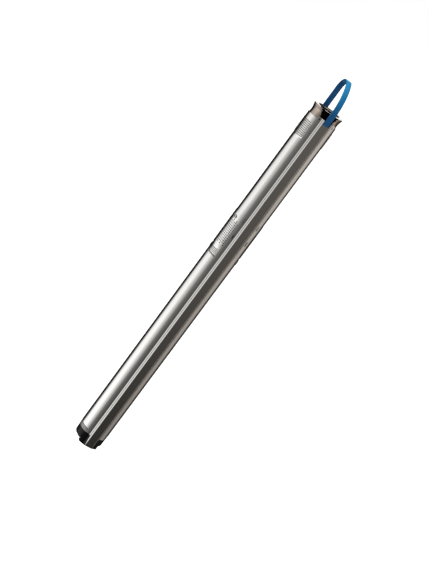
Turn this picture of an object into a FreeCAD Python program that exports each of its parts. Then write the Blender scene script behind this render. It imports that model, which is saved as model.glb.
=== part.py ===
import FreeCAD, Part
import math
import os
import types
import Sketcher
from FreeCAD import Placement, Rotation, Vector

# Three-inch borehole submersible pump: multistage pump above, permanent-magnet motor below.
# Millimetres and degrees. +Z is up along the pump's axis, the origin is the centre of the
# discharge port's mouth, and the cable guard lies on the -Y side.

# Driving dimensions
SIZES = {
    # Clearances
    "fit_gap": 0.1,
    "running_gap": 0.05,
    "touch_gap": 0.3,
    # Discharge head
    "rim_overhang": 1.0,
    "rim_lip": 3.2,
    "rim_bevel": 0.8,
    "rim_groove": 1.4,
    "rim_groove_depth": 1.6,
    "bead_setback": 0.9,
    "bead_height": 1.2,
    "neck_depth": 2.6,
    "neck_sweep": 30.0,
    "neck_run_in": 2.0,
    "head_exposed": 22.0,
    "skirt_length": 40.0,
    "skirt_wall": 4.2,
    "port_radius": 22.42,
    "port_length": 20.0,
    "pipe_stop_step": 1.92,
    "pipe_stop_length": 5.4,
    "valve_chamber_wall": 6.2,
    "recess_depth": 6.1,
    "recess_turn": -6.0,
    "notch_angle": 15.0,
    "notch_width": 3.5,
    "notch_depth": 3.6,
    "oring_wire": 1.25,
    "oring_setting": 4.0,
    # Non-return valve
    "seat_height": 10.0,
    "seat_bore": 14.0,
    "seat_throat": 4.0,
    "seal_width": 3.8,
    "seal_height": 1.6,
    "valve_disc": 2.8,
    "stem_radius": 3.0,
    "stem_length": 17.5,
    "guide_hub_radius": 6.0,
    "guide_hub_length": 10.0,
    "guide_ring_height": 6.0,
    "guide_ring_wall": 2.5,
    "guide_rib": 2.4,
    "guide_ribs": 3,
    "spring_wire": 0.5,
    "spring_turns": 3,
    # Pump sleeve with its rolled threads and strainer
    "sleeve_radius": 33.3,
    "sleeve_wall": 1.0,
    "sleeve_length": 351.0,
    "strainer_rise": 0.7,
    "strainer_start": 16.0,
    "strainer_length": 84.0,
    "strainer_cone": 3.0,
    "thread_height": 1.3,
    "thread_collar": 13.0,
    "thread_pitch": 3.8,
    "thread_ridges": 10,
    "low_thread_pitch": 2.6,
    "low_thread_ridges": 5,
    "low_thread_start": 1.2,
    "window_width": 5.5,
    "window_height": 7.0,
    "window_level": 22.0,
    "window_angle": 188.0,
    "windows": 4,
    "screw_level": 90.0,
    "screw_angle": 202.0,
    "screw_radius": 2.2,
    "screw_head_radius": 4.5,
    "screw_head_height": 1.6,
    # Pump stages
    "stage_count": 6,
    "stage_pitch": 27.0,
    "chamber_wall": 1.6,
    "chamber_floor": 1.8,
    "eye_radius": 12.0,
    "ring_wall": 1.3,
    "guide_plate_level": 15.5,
    "guide_plate": 1.5,
    "passage_width": 3.0,
    "guide_vanes": 5,
    "vane_thickness": 1.5,
    "vane_centre": 0.64,
    "vane_sweep": 1.03,
    "impeller_room": 4.5,
    "impeller_level": 3.6,
    "shroud_thickness": 1.4,
    "impeller_width": 6.4,
    "impeller_blades": 6,
    "blade_thickness": 1.4,
    "blade_centre": 0.72,
    "blade_sweep": 1.04,
    "hub_radius": 8.0,
    "top_chamber_height": 22.0,
    "top_chamber_plate": 2.0,
    "top_bearing_radius": 7.5,
    "top_bearing_length": 12.0,
    "bearing_hub_wall": 2.4,
    "bearing_arms": 4,
    "bearing_arm": 3.0,
    # Shafts and coupling
    "shaft_flats": 9.0,
    "journal_radius": 4.4,
    "nut_flats": 13.0,
    "nut_height": 6.0,
    "coupling_radius": 9.5,
    "coupling_length": 34.0,
    "coupling_level": 30.0,
    "motor_shaft_radius": 6.0,
    # Suction interconnector
    "interconnector_wall": 5.0,
    "interconnector_flange": 8.0,
    "interconnector_top": 3.0,
    "inlet_radius": 16.0,
    "pillars": 4,
    "pillar_width": 15.0,
    # Motor
    "motor_rise": 0.5,
    "motor_wall": 0.9,
    "motor_length": 471.0,
    "shield_flange": 3.0,
    "spigot_height": 15.0,
    "shield_plug": 22.0,
    "bush_wall": 4.0,
    "bush_length": 18.0,
    "seal_radius": 13.0,
    "seal_length": 11.0,
    "filling_screw_radius": 4.0,
    "filling_screw_length": 8.0,
    "filling_screw_offset": 22.0,
    "can_radius": 17.5,
    "can_wall": 0.5,
    "can_length": 224.0,
    "winding_room": 5.0,
    "winding_height": 12.0,
    "winding_width": 11.0,
    "rotor_gap": 0.6,
    "rotor_setback": 2.0,
    "bottom_shield": 18.0,
    "thrust_disc_radius": 17.0,
    "thrust_disc": 6.0,
    "pad_height": 5.5,
    "pad_bore": 9.0,
    "pad_angle": 44.0,
    "pads": 6,
    "carrier_floor": 8.0,
    "diaphragm_depth": 20.0,
    "diaphragm_skin": 2.0,
    "diaphragm_taper": 6.0,
    "electronics_wall": 1.6,
    "board_inset": 7.2,
    "board_thickness": 1.6,
    "board_setback": 18.0,
    "capacitor_radius": 9.0,
    "capacitor_gap": 12.0,
    "capacitors": 3,
    # Cable socket
    "socket_width": 16.0,
    "socket_inset": 4.3,
    "socket_clearance": 2.2,
    "socket_height": 21.0,
    "contact_radius": 1.2,
    "contact_depth": 12.0,
    "contact_pitch": 4.6,
    # End cap
    "cap_setback": 0.8,
    "cap_band": 10.0,
    "band_setback": 0.4,
    "cap_height": 32.5,
    "cap_corner": 7.5,
    "cap_plug": 9.0,
    "cap_flutes": 10,
    "flute_width": 7.0,
    "flute_depth": 1.2,
    "flute_top": 19.0,
    "keel_drop": 3.5,
    "keel_round": 6.0,
    # Cable guard
    "guard_depth": 4.7,
    "guard_sheet": 0.6,
    "guard_panel": 16.4,
    "guard_bend": 54.0,
    "guard_wing_angle": 37.8,
    "guard_top": 16.0,
    "guard_panel_cut": 8.5,
    "guard_tail": 32.5,
    "guard_wing_stop": 8.0,
    "guard_tail_lip": 2.0,
    "clip_height": 11.0,
    "clip_width": 1.8,
    "clip_angle": 27.8,
    "upper_clip_level": 96.0,
    "lower_clip_level": 56.0,
    "top_clip_height": 6.0,
    "top_clip_drop": 5.5,
    # Carrying strap
    "strap_width": 12.6,
    "strap_thickness": 2.0,
    "strap_lean_radius": 78.0,
    "strap_lean_angle": 55.0,
    "strap_lean_start": 0.0,
    "strap_foot_top": 38.0,
    "strap_foot": 6.0,
    "strap_pad_top": 12.4,
    "strap_pad_slope": 1.6,
    "rivet_radius": 2.0,
    "rivet_head_radius": 3.5,
    "rivet_head": 0.8,
    "rivet_level": 16.0,
    "rivet_grip": 4.0,
}

doc = FreeCAD.newDocument("BoreholePump")
sheet = doc.addObject("Spreadsheet::Sheet", "Sizes")
for row, (alias, amount) in enumerate(SIZES.items(), start=1):
    sheet.set(f"A{row}", alias)
    sheet.set(f"B{row}", str(amount))
    sheet.setAlias(f"B{row}", alias)
doc.recompute()


class Size:
    """A length, angle or count: its number, and the text that binds a property to the sheet."""

    def __init__(self, number, text):
        self.number = float(number)
        self.text = text

    def __add__(self, other):
        return Size(self.number + size(other).number, f"({self.text} + {size(other).text})")

    def __sub__(self, other):
        return Size(self.number - size(other).number, f"({self.text} - {size(other).text})")

    def __mul__(self, other):
        return Size(self.number * size(other).number, f"({self.text} * {size(other).text})")

    def __truediv__(self, other):
        return Size(self.number / size(other).number, f"({self.text} / {size(other).text})")

    def __neg__(self):
        return Size(-self.number, f"(0 - {self.text})")

    def __radd__(self, other):
        return size(other) + self

    def __rsub__(self, other):
        return size(other) - self

    def __rmul__(self, other):
        return size(other) * self

    def __rtruediv__(self, other):
        return size(other) / self


def size(amount):
    return amount if isinstance(amount, Size) else Size(amount, repr(float(amount)))


def root(amount):
    return Size(math.sqrt(amount.number), f"sqrt({amount.text})")


def sine(angle):
    return Size(math.sin(math.radians(angle.number)), f"sin({angle.text})")


def cosine(angle):
    return Size(math.cos(math.radians(angle.number)), f"cos({angle.text})")


d = types.SimpleNamespace(**{name: Size(SIZES[name], f"Sizes.{name}") for name in SIZES})
pieces = []
removals = []


# Building tools
def bind(item, path, amount):
    item.setExpression(path, size(amount).text)


def new_body(name, level=0.0, many=False):
    """A body for one sub-part, its lower end at the given level. many allows separate solids."""
    body = doc.addObject("PartDesign::Body", name)
    body.Label = name
    body.AllowCompound = many
    bind(body, "Placement.Base.z", level)
    pieces.append(body)
    return body


def datum(body, role):
    return next(item for item in body.Origin.OriginFeatures if item.Role == role)


def new_sketch(body, name, role="XY_Plane", lift=0.0, turned=None):
    """A sketch on an origin plane, moved along its normal and turned about the pump's axis."""
    sketch = body.newObject("Sketcher::SketchObject", f"{body.Name}_{name}_sketch")
    sketch.AttachmentSupport = [(datum(body, role), "")]
    sketch.MapMode = "FlatFace"
    if turned is not None:
        axis = Vector(0, 0, 1) if role == "XY_Plane" else Vector(0, 1, 0)
        sketch.AttachmentOffset = Placement(Vector(), Rotation(axis, size(turned).number))
        bind(sketch, "AttachmentOffset.Rotation.Angle", turned)
    lift = size(lift)
    if turned is not None and role == "XZ_Plane":
        bind(sketch, "AttachmentOffset.Base.x", lift * sine(size(turned)))
        lift = lift * cosine(size(turned))
    bind(sketch, "AttachmentOffset.Base.z", lift)
    return sketch


def hold_point(sketch, geometry, position, point, which="XY"):
    for letter, amount in zip("XY", point):
        if letter in which:
            number = sketch.addConstraint(
                Sketcher.Constraint(f"Distance{letter}", -1, 1, geometry, position, size(amount).number)
            )
            bind(sketch, f"Constraints[{number}]", amount)


def outline(sketch, corners, arcs=None):
    """A closed outline. arcs gives, for the corner where an arc starts, the arc's centre."""
    arcs = arcs or {}
    first = sketch.GeometryCount
    spots = [tuple(size(value).number for value in corner) for corner in corners]
    count = len(spots)
    ends = []
    for index, (x, y) in enumerate(spots):
        far_x, far_y = spots[(index + 1) % count]
        if index not in arcs:
            sketch.addGeometry(Part.LineSegment(Vector(x, y, 0), Vector(far_x, far_y, 0)), False)
            ends.append((1, 2))
            continue
        middle_x, middle_y = (size(value).number for value in arcs[index])
        start = math.atan2(y - middle_y, x - middle_x)
        sweep = math.atan2(far_y - middle_y, far_x - middle_x) - start
        sweep = (sweep + math.pi) % (2 * math.pi) - math.pi
        radius = math.hypot(x - middle_x, y - middle_y)
        whole = Part.Circle(Vector(middle_x, middle_y, 0), Vector(0, 0, 1), radius)
        low = start if sweep > 0 else start + sweep
        sketch.addGeometry(Part.ArcOfCircle(whole, low, low + abs(sweep)), False)
        ends.append((1, 2) if sweep > 0 else (2, 1))
    for index in range(count):
        after = (index + 1) % count
        meeting = (first + index, ends[index][1], first + after, ends[after][0])
        sketch.addConstraint(Sketcher.Constraint("Coincident", *meeting))
    for index, corner in enumerate(corners):
        which = "XY"
        previous = (index - 1) % count
        if previous in arcs:
            across, up = (spots[index][side] - size(arcs[previous][side]).number for side in (0, 1))
            which = "X" if abs(up) >= abs(across) else "Y"
        hold_point(sketch, first + index, ends[index][0], corner, which)
        if index in arcs:
            hold_point(sketch, first + index, 3, arcs[index])
    return sketch


def circle(sketch, centre, radius):
    x, y = (size(value).number for value in centre)
    reach = size(radius).number
    index = sketch.addGeometry(Part.Circle(Vector(x, y, 0), Vector(0, 0, 1), reach), False)
    hold_point(sketch, index, 3, centre)
    number = sketch.addConstraint(Sketcher.Constraint("Radius", index, reach))
    bind(sketch, f"Constraints[{number}]", radius)
    return sketch


def rectangle(low, high):
    return [(low[0], low[1]), (high[0], low[1]), (high[0], high[1]), (low[0], high[1])]


def polygon(sides, flats):
    """Corners of a regular polygon, given the width across its flats."""
    reach = flats / (2 * math.cos(math.pi / sides))
    turns = [2 * math.pi * side / sides for side in range(sides)]
    return [(reach * math.cos(turn), reach * math.sin(turn)) for turn in turns]


def arc_centre(start, end, radius):
    """Centre of an arc from start to end that lies to the left of the way from one to the other."""
    across = size(end[0]) - start[0]
    up = size(end[1]) - start[1]
    chord = root(across * across + up * up)
    height = root(radius * radius - chord * chord / 4)
    return (
        (size(start[0]) + end[0]) / 2 - height * up / chord,
        (size(start[1]) + end[1]) / 2 + height * across / chord,
    )


def turn(body, name, corners, arcs=None, angle=360.0, cut=False):
    """Turns a profile of (radius, height) corners about the pump's axis, to add or to cut."""
    sketch = outline(new_sketch(body, name, "XZ_Plane"), corners, arcs)
    kind = "PartDesign::Groove" if cut else "PartDesign::Revolution"
    feature = body.newObject(kind, f"{body.Name}_{name}")
    feature.Profile = sketch
    feature.ReferenceAxis = (sketch, ["V_Axis"])
    bind(feature, "Angle", angle)
    if cut:
        removals.append((body, feature))
    return feature


def pad(body, name, sketch, length, both_ways=False):
    feature = body.newObject("PartDesign::Pad", f"{body.Name}_{name}")
    feature.Profile = sketch
    feature.SideType = "Symmetric" if both_ways else "One side"
    bind(feature, "Length", length)
    return feature


def pocket(body, name, sketch, depth):
    feature = body.newObject("PartDesign::Pocket", f"{body.Name}_{name}")
    feature.Profile = sketch
    bind(feature, "Length", depth)
    removals.append((body, feature))
    return feature


def ring_of(body, feature, count):
    """Repeats a feature evenly about the pump's axis."""
    pattern = body.newObject("PartDesign::PolarPattern", f"{feature.Name}_ring")
    pattern.Originals = [feature]
    pattern.Axis = (datum(body, "Z_Axis"), [""])
    pattern.Angle = 360
    bind(pattern, "Occurrences", count)
    body.Tip = pattern
    return pattern


def row_of(body, feature, count, pitch):
    """Repeats a feature upwards along the pump's axis."""
    pattern = body.newObject("PartDesign::LinearPattern", f"{feature.Name}_row")
    pattern.Originals = [feature]
    pattern.Direction = (datum(body, "Z_Axis"), [""])
    bind(pattern, "Occurrences", count)
    bind(pattern, "Length", (count - 1) * pitch)
    body.Tip = pattern
    return pattern


def blade(inner, outer, middle, curve, thickness, hand=1):
    """A curved blade's outline and its arcs. Its centre line is an arc of radius curve about a
    point at the distance middle from the axis, between the radii inner and outer."""
    corners = []
    for radius, side in ((inner, 1), (outer, 1), (outer, -1), (inner, -1)):
        bend = curve + side * thickness / 2
        along = (radius * radius + middle * middle - bend * bend) / (2 * middle)
        corners.append((along, hand * root(radius * radius - along * along)))
    return corners, {0: (middle, 0.0), 2: (middle, 0.0)}


# Radii and levels that several pieces share. A level is a height in the pump's frame.
sleeve_bore = d.sleeve_radius - d.sleeve_wall
strainer_radius = d.sleeve_radius + d.strainer_rise
strainer_bore = strainer_radius - d.sleeve_wall
thread_radius = d.sleeve_radius + d.thread_height
rim_radius = d.sleeve_radius + d.rim_overhang
neck_radius = rim_radius - d.neck_depth
skirt_radius = sleeve_bore - d.fit_gap
skirt_bore = skirt_radius - d.skirt_wall
valve_chamber_radius = neck_radius - d.valve_chamber_wall
pipe_stop_radius = d.port_radius - d.pipe_stop_step
stack_radius = sleeve_bore - 2 * d.fit_gap
chamber_bore = stack_radius - d.chamber_wall
impeller_radius = chamber_bore - d.impeller_room
motor_radius = d.sleeve_radius + d.motor_rise
motor_bore = motor_radius - d.motor_wall
plug_radius = motor_bore - d.fit_gap
cap_radius = motor_radius - d.cap_setback
band_radius = motor_radius - d.band_setback
guard_radius = thread_radius + d.guard_depth
shaft_corner = d.shaft_flats / 3**0.5
bush_bore = d.motor_shaft_radius + d.running_gap
bush_radius = bush_bore + d.bush_wall

sleeve_top = -d.head_exposed
sleeve_bottom = sleeve_top - d.sleeve_length
head_height = d.head_exposed + d.skirt_length
head_bottom = -head_height
seat_level = head_bottom + d.seat_height
port_bottom = -d.port_length
chamber_roof = port_bottom - d.pipe_stop_length
stages_top = head_bottom - d.top_chamber_height
stages_bottom = stages_top - d.stage_count * d.stage_pitch
spigot_level = sleeve_bottom + d.spigot_height
interconnector_height = stages_bottom - spigot_level
coupling_bottom = spigot_level + d.coupling_level
coupling_middle = coupling_bottom + d.coupling_length / 2
motor_sleeve_top = sleeve_bottom - d.shield_flange
motor_sleeve_bottom = motor_sleeve_top - d.motor_length
shield_bottom = motor_sleeve_top - d.shield_plug
can_bottom = shield_bottom - d.can_length
core_end = d.winding_height + d.winding_room
core_bottom = can_bottom + core_end
core_length = d.can_length - 2 * core_end
rotor_bottom = core_bottom + d.rotor_setback
rotor_length = core_length - 2 * d.rotor_setback
bottom_shield_level = can_bottom - d.bottom_shield
disc_level = bottom_shield_level - d.touch_gap - d.thrust_disc
pads_level = disc_level - d.fit_gap - d.pad_height
carrier_level = pads_level - d.carrier_floor
diaphragm_level = carrier_level - d.diaphragm_depth
electronics_level = motor_sleeve_bottom + d.cap_plug + d.touch_gap
electronics_height = diaphragm_level - d.touch_gap - electronics_level
cap_bottom = motor_sleeve_bottom - d.cap_height
socket_front = guard_radius - d.guard_sheet - d.socket_clearance
socket_back = skirt_radius - d.socket_inset


def discharge_head():
    """Cast cup with the rolled-in neck, the threaded port, the valve chamber and the skirt."""
    body = new_body("discharge_head", head_bottom)
    top = head_height
    rim_bottom = top - d.rim_lip
    groove_bottom = rim_bottom - d.rim_groove
    groove_radius = rim_radius - d.rim_groove_depth
    bead_radius = rim_radius - d.bead_setback
    neck_top = (bead_radius, groove_bottom - d.bead_height)
    neck_bottom = (neck_radius, d.skirt_length - d.neck_run_in)
    oring_top = neck_bottom[1] - d.oring_setting
    oring_floor = sleeve_bore - 2 * d.oring_wire - d.fit_gap
    oring_bottom = oring_top - 2 * d.oring_wire - 2 * d.touch_gap
    roof = chamber_roof - head_bottom
    corners = [
        (d.port_radius, top),
        (rim_radius - d.rim_bevel, top),
        (rim_radius, top - d.rim_bevel),
        (rim_radius, rim_bottom),
        (groove_radius, rim_bottom),
        (groove_radius, groove_bottom),
        (bead_radius, groove_bottom),
        neck_top,
        neck_bottom,
        (skirt_radius, neck_bottom[1]),
        (skirt_radius, oring_top),
        (oring_floor, oring_top),
        (oring_floor, oring_bottom),
        (skirt_radius, oring_bottom),
        (skirt_radius, 0.0),
        (skirt_bore, 0.0),
        (skirt_bore, d.seat_height),
        (valve_chamber_radius, d.seat_height),
        (valve_chamber_radius, roof),
        (pipe_stop_radius, roof),
        (pipe_stop_radius, roof + d.pipe_stop_length),
        (d.port_radius, roof + d.pipe_stop_length),
    ]
    turn(body, "casting", corners, {7: arc_centre(neck_top, neck_bottom, d.neck_sweep)})
    flat = rim_radius - d.recess_depth
    recess = new_sketch(body, "recess", lift=top, turned=d.recess_turn)
    outline(recess, rectangle((-rim_radius, -2 * rim_radius), (rim_radius, -flat)))
    pocket(body, "recess", recess, d.head_exposed)
    notch = new_sketch(body, "notch", lift=top, turned=d.notch_angle)
    outline(notch, rectangle((0.0, -d.notch_width / 2), (2 * rim_radius, d.notch_width / 2)))
    pocket(body, "notch", notch, d.notch_depth)
    hole = new_sketch(body, "rivet", "XZ_Plane", lift=-(neck_radius - d.rivet_grip - d.touch_gap))
    circle(hole, (0.0, top - d.rivet_level), d.rivet_radius + d.fit_gap)
    pocket(body, "rivet_hole", hole, 2 * d.rivet_grip)


def valve_parts():
    """Non-return valve: seat ring, spider guide, cone with its seal ring, and the light spring."""
    seat = new_body("valve_seat", head_bottom)
    turn(
        seat,
        "ring",
        [
            (d.inlet_radius, 0.0),
            (skirt_bore - d.fit_gap, 0.0),
            (skirt_bore - d.fit_gap, d.seat_height),
            (d.seat_bore, d.seat_height),
            (d.seat_bore, d.seat_throat),
        ],
    )

    guide = new_body("valve_guide", chamber_roof - d.guide_hub_length)
    ring_radius = valve_chamber_radius - d.fit_gap
    ring_base = d.guide_hub_length - d.guide_ring_height
    turn(
        guide,
        "ring",
        rectangle((ring_radius - d.guide_ring_wall, ring_base), (ring_radius, d.guide_hub_length)),
    )
    rib = new_sketch(guide, "rib", lift=ring_base)
    rib_foot = (d.stem_radius + d.fit_gap, -d.guide_rib / 2)
    rib_end = (ring_radius - d.guide_ring_wall / 2, d.guide_rib / 2)
    outline(rib, rectangle(rib_foot, rib_end))
    ribs = pad(guide, "rib", rib, d.guide_ring_height - d.guide_rib)
    ring_of(guide, ribs, d.guide_ribs)
    hub_top = (d.guide_hub_radius, d.guide_hub_length - d.guide_rib)
    turn(guide, "hub", rectangle((d.stem_radius + d.running_gap, 0.0), hub_top))

    seal_level = seat_level + d.fit_gap
    seal = new_body("valve_seal_ring", seal_level)
    seal_bore = d.seat_bore - d.running_gap
    seal_radius = d.seat_bore + d.seal_width
    turn(seal, "ring", rectangle((seal_bore, 0.0), (seal_radius, d.seal_height)))

    cone = new_body("valve_cone", seal_level)
    boss = seal_bore - d.fit_gap
    disc_radius = seal_radius + d.touch_gap
    disc_top = d.seal_height + d.valve_disc
    turn(
        cone,
        "poppet",
        [
            (0.0, -d.seat_throat),
            (d.stem_radius, -d.seat_throat),
            (boss, 0.0),
            (boss, d.seal_height),
            (disc_radius, d.seal_height),
            (disc_radius, d.seal_height + d.valve_disc / 2),
            (d.guide_hub_radius, disc_top),
            (d.stem_radius, disc_top),
            (d.stem_radius, disc_top + d.stem_length),
            (0.0, disc_top + d.stem_length),
        ],
    )

    spring = doc.addObject("Part::Feature", "valve_spring")
    spring.Label = "valve_spring"
    foot = (seal_level + disc_top + d.spring_wire + d.touch_gap / 2).number
    head = (chamber_roof - d.guide_hub_length - d.spring_wire - d.touch_gap / 2).number
    coil = (d.stem_radius + d.touch_gap + 2 * d.spring_wire).number
    helix = Part.makeHelix((head - foot) / SIZES["spring_turns"], head - foot, coil)
    rim = [Vector(coil + x, 0, z) for x, z in polygon(6, 2 * SIZES["spring_wire"])]
    wire_section = Part.makePolygon(rim + rim[:1])
    sweep = Part.BRepOffsetAPI.MakePipeShell(Part.Wire(helix.Edges))
    sweep.setFrenetMode(True)
    sweep.add(wire_section)
    sweep.build()
    sweep.makeSolid()
    spring.Shape = sweep.shape()
    spring.Placement = Placement(Vector(0, 0, foot), Rotation())
    pieces.append(spring)


def head_o_ring():
    """Rubber ring in the groove of the head's skirt, pressed flat on the sleeve's bore."""
    groove_middle = d.neck_run_in + d.oring_setting + d.oring_wire + d.touch_gap
    ring = new_body("head_o_ring", sleeve_top - groove_middle)
    middle = sleeve_bore - d.oring_wire - d.fit_gap / 2
    flat = d.oring_wire * math.tan(math.pi / 8)
    half = [(middle - flat, -d.oring_wire), (middle + flat, -d.oring_wire), (middle + d.oring_wire, -flat)]
    half += [(middle + d.oring_wire, flat), (middle + flat, d.oring_wire), (middle - flat, d.oring_wire)]
    half += [(middle - d.oring_wire, flat), (middle - d.oring_wire, -flat)]
    turn(ring, "ring", half)


def pump_sleeve():
    """Stainless tube with rolled threads at both ends and a wider strainer near its lower end."""
    body = new_body("pump_sleeve", sleeve_bottom)
    start = d.strainer_start
    end = start + d.strainer_length
    top = d.sleeve_length
    turn(
        body,
        "tube",
        [
            (sleeve_bore, 0.0),
            (d.sleeve_radius, 0.0),
            (d.sleeve_radius, start),
            (strainer_radius, start + d.strainer_cone),
            (strainer_radius, end),
            (d.sleeve_radius, end + d.strainer_cone),
            (d.sleeve_radius, top),
            (sleeve_bore, top),
            (sleeve_bore, end + d.strainer_cone),
            (strainer_bore, end),
            (strainer_bore, start + d.strainer_cone),
            (sleeve_bore, start),
        ],
    )
    top_thread_start = top - d.thread_collar - d.thread_ridges * d.thread_pitch
    for name, level, pitch, count in (
        ("low_thread", d.low_thread_start, d.low_thread_pitch, d.low_thread_ridges),
        ("top_thread", top_thread_start, d.thread_pitch, d.thread_ridges),
    ):
        root_radius = d.sleeve_radius - d.sleeve_wall / 2
        ridge = [(root_radius, level), (thread_radius, level + pitch / 2), (root_radius, level + pitch)]
        row_of(body, turn(body, name, ridge), count, pitch)

    window = new_sketch(body, "window", "XZ_Plane", turned=d.window_angle - 90)
    half = d.window_width / 2
    low = d.window_level - d.window_height / 2 + half
    high = d.window_level + d.window_height / 2 - half
    outline(
        window,
        [(half, low), (half, high), (0.0, high + half), (-half, high), (-half, low), (0.0, low - half)],
        {1: (0.0, high), 2: (0.0, high), 4: (0.0, low), 5: (0.0, low)},
    )
    ring_of(body, pocket(body, "window", window, 2 * strainer_radius), d.windows)
    hole = new_sketch(body, "screw", "XZ_Plane", turned=d.screw_angle - 90)
    circle(hole, (0.0, d.screw_level), d.screw_radius + d.fit_gap)
    pocket(body, "screw_hole", hole, 2 * strainer_radius)
    plug_way = new_sketch(body, "plug_way")
    gap = d.socket_width / 2 + d.touch_gap
    outline(plug_way, rectangle((-gap, -2 * strainer_radius), (gap, 0.0)))
    way = pocket(body, "plug_way", plug_way, d.socket_height + 2 * d.touch_gap)
    way.Reversed = True


def lock_screw():
    """Dome-headed screw through the sleeve into a pillar of the interconnector."""
    body = new_body("sleeve_lock_screw", sleeve_bottom + d.screw_level)
    seat = strainer_radius + d.touch_gap / 3
    tip = seat - 2 * d.screw_radius
    dome = d.screw_head_height
    turn(
        body,
        "screw",
        [
            (0.0, tip),
            (d.screw_radius, tip),
            (d.screw_radius, seat),
            (d.screw_head_radius, seat),
            (d.screw_head_radius - dome, seat + dome),
            (0.0, seat + dome),
        ],
        {3: (d.screw_head_radius - dome, seat)},
    )
    lying = Rotation(Vector(0, 1, 0), 90)
    body.Placement = Placement(Vector(), Rotation(Vector(0, 0, 1), d.screw_angle.number).multiply(lying))
    bind(body, "Placement.Base.z", sleeve_bottom + d.screw_level)


def stage(number):
    """One pump stage: chamber with its guide vanes, neck ring, and the impeller inside it."""
    level = stages_top - number * d.stage_pitch
    ring_bore = d.eye_radius + d.ring_wall + d.running_gap
    ring_radius = ring_bore + d.ring_wall

    chamber = new_body(f"chamber_{number}", level)
    turn(
        chamber,
        "cup",
        [
            (ring_radius + d.fit_gap, 0.0),
            (stack_radius, 0.0),
            (stack_radius, d.stage_pitch),
            (chamber_bore, d.stage_pitch),
            (chamber_bore, d.chamber_floor),
            (ring_radius + d.fit_gap, d.chamber_floor),
        ],
    )
    plate_top = d.guide_plate_level + d.guide_plate
    plate_radius = chamber_bore - d.passage_width
    vanes = new_sketch(chamber, "vane", lift=plate_top - d.guide_plate / 2)
    reach = stack_radius - d.chamber_wall / 2
    middle = reach * d.vane_centre
    corners, arcs = blade(d.hub_radius + d.ring_wall, reach, middle, middle * d.vane_sweep, d.vane_thickness)
    outline(vanes, corners, arcs)
    vane = pad(chamber, "vane", vanes, d.stage_pitch - plate_top + d.guide_plate / 2)
    ring_of(chamber, vane, d.guide_vanes)
    turn(
        chamber,
        "plate",
        rectangle((d.hub_radius + d.touch_gap, d.guide_plate_level), (plate_radius, plate_top)),
    )

    ring = new_body(f"neck_ring_{number}", level)
    turn(ring, "ring", rectangle((ring_bore, 0.0), (ring_radius, d.chamber_floor)))

    impeller = new_body(f"impeller_{number}", level)
    shroud_top = d.impeller_level + 2 * d.shroud_thickness + d.impeller_width
    hub_top = d.guide_plate_level - d.touch_gap
    turn(
        impeller,
        "hub",
        [
            (0.0, d.impeller_level),
            (d.hub_radius, d.impeller_level),
            (d.hub_radius, shroud_top - d.shroud_thickness),
            (impeller_radius, shroud_top - d.shroud_thickness),
            (impeller_radius, shroud_top),
            (d.hub_radius, shroud_top),
            (d.hub_radius, hub_top),
            (0.0, hub_top),
        ],
    )
    blades = new_sketch(impeller, "blade", lift=d.impeller_level + d.shroud_thickness / 2)
    inner = d.eye_radius + d.touch_gap
    outer = impeller_radius - d.touch_gap
    middle = impeller_radius * d.blade_centre
    corners, arcs = blade(inner, outer, middle, middle * d.blade_sweep, d.blade_thickness, -1)
    outline(blades, corners, arcs)
    one_blade = pad(impeller, "blade", blades, d.impeller_width + d.shroud_thickness)
    ring_of(impeller, one_blade, d.impeller_blades)
    turn(
        impeller,
        "eye",
        [
            (d.eye_radius, d.touch_gap),
            (d.eye_radius + d.ring_wall, d.touch_gap),
            (d.eye_radius + d.ring_wall, d.impeller_level),
            (impeller_radius, d.impeller_level),
            (impeller_radius, d.impeller_level + d.shroud_thickness),
            (d.eye_radius, d.impeller_level + d.shroud_thickness),
        ],
    )
    bore = new_sketch(impeller, "bore", lift=hub_top)
    outline(bore, polygon(6, d.shaft_flats + 2 * d.running_gap))
    pocket(impeller, "bore", bore, hub_top)


def rotating_parts():
    """Hexagonal pump shaft, its spacers and nut, the coupling, and the motor's shaft and rotor."""
    hub_top = d.guide_plate_level - d.touch_gap
    hex_top = stages_top - d.stage_pitch + hub_top
    spacer = d.stage_pitch - hub_top + d.impeller_level
    shaft_bottom = coupling_middle + d.touch_gap
    journal_top = stages_top + d.top_bearing_length + d.touch_gap

    shaft = new_body("pump_shaft", shaft_bottom)
    hexagon = outline(new_sketch(shaft, "hexagon"), polygon(6, d.shaft_flats))
    pad(shaft, "hexagon", hexagon, hex_top - shaft_bottom)
    journal_end = (d.journal_radius, journal_top - shaft_bottom)
    turn(shaft, "journal", rectangle((0.0, hex_top - shaft_bottom), journal_end))

    spacers = new_body("shaft_spacers", stages_bottom + hub_top, many=True)
    tube = turn(spacers, "tube", rectangle((shaft_corner + d.running_gap, 0.0), (d.hub_radius, spacer)))
    row_of(spacers, tube, d.stage_count - 1, d.stage_pitch)

    nut = new_body("shaft_nut", hex_top)
    face = outline(new_sketch(nut, "face"), polygon(6, d.nut_flats))
    circle(face, (0.0, 0.0), d.journal_radius + d.running_gap)
    pad(nut, "nut", face, d.nut_height)

    coupling = new_body("shaft_coupling", coupling_bottom)
    half = d.coupling_length / 2
    turn(
        coupling,
        "sleeve",
        [
            (bush_bore, 0.0),
            (d.coupling_radius, 0.0),
            (d.coupling_radius, d.coupling_length),
            (shaft_corner + d.running_gap, d.coupling_length),
            (shaft_corner + d.running_gap, half),
            (bush_bore, half),
        ],
    )

    motor_shaft = new_body("motor_shaft", disc_level)
    turn(
        motor_shaft,
        "shaft",
        rectangle((0.0, 0.0), (d.motor_shaft_radius, coupling_middle - d.touch_gap - disc_level)),
    )
    rotor = new_body("rotor_core", rotor_bottom)
    rotor_radius = d.can_radius - d.can_wall - d.rotor_gap
    turn(rotor, "core", rectangle((bush_bore, 0.0), (rotor_radius, rotor_length)))
    disc = new_body("thrust_disc", disc_level)
    turn(disc, "disc", rectangle((bush_bore, 0.0), (d.thrust_disc_radius, d.thrust_disc)))


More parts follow.
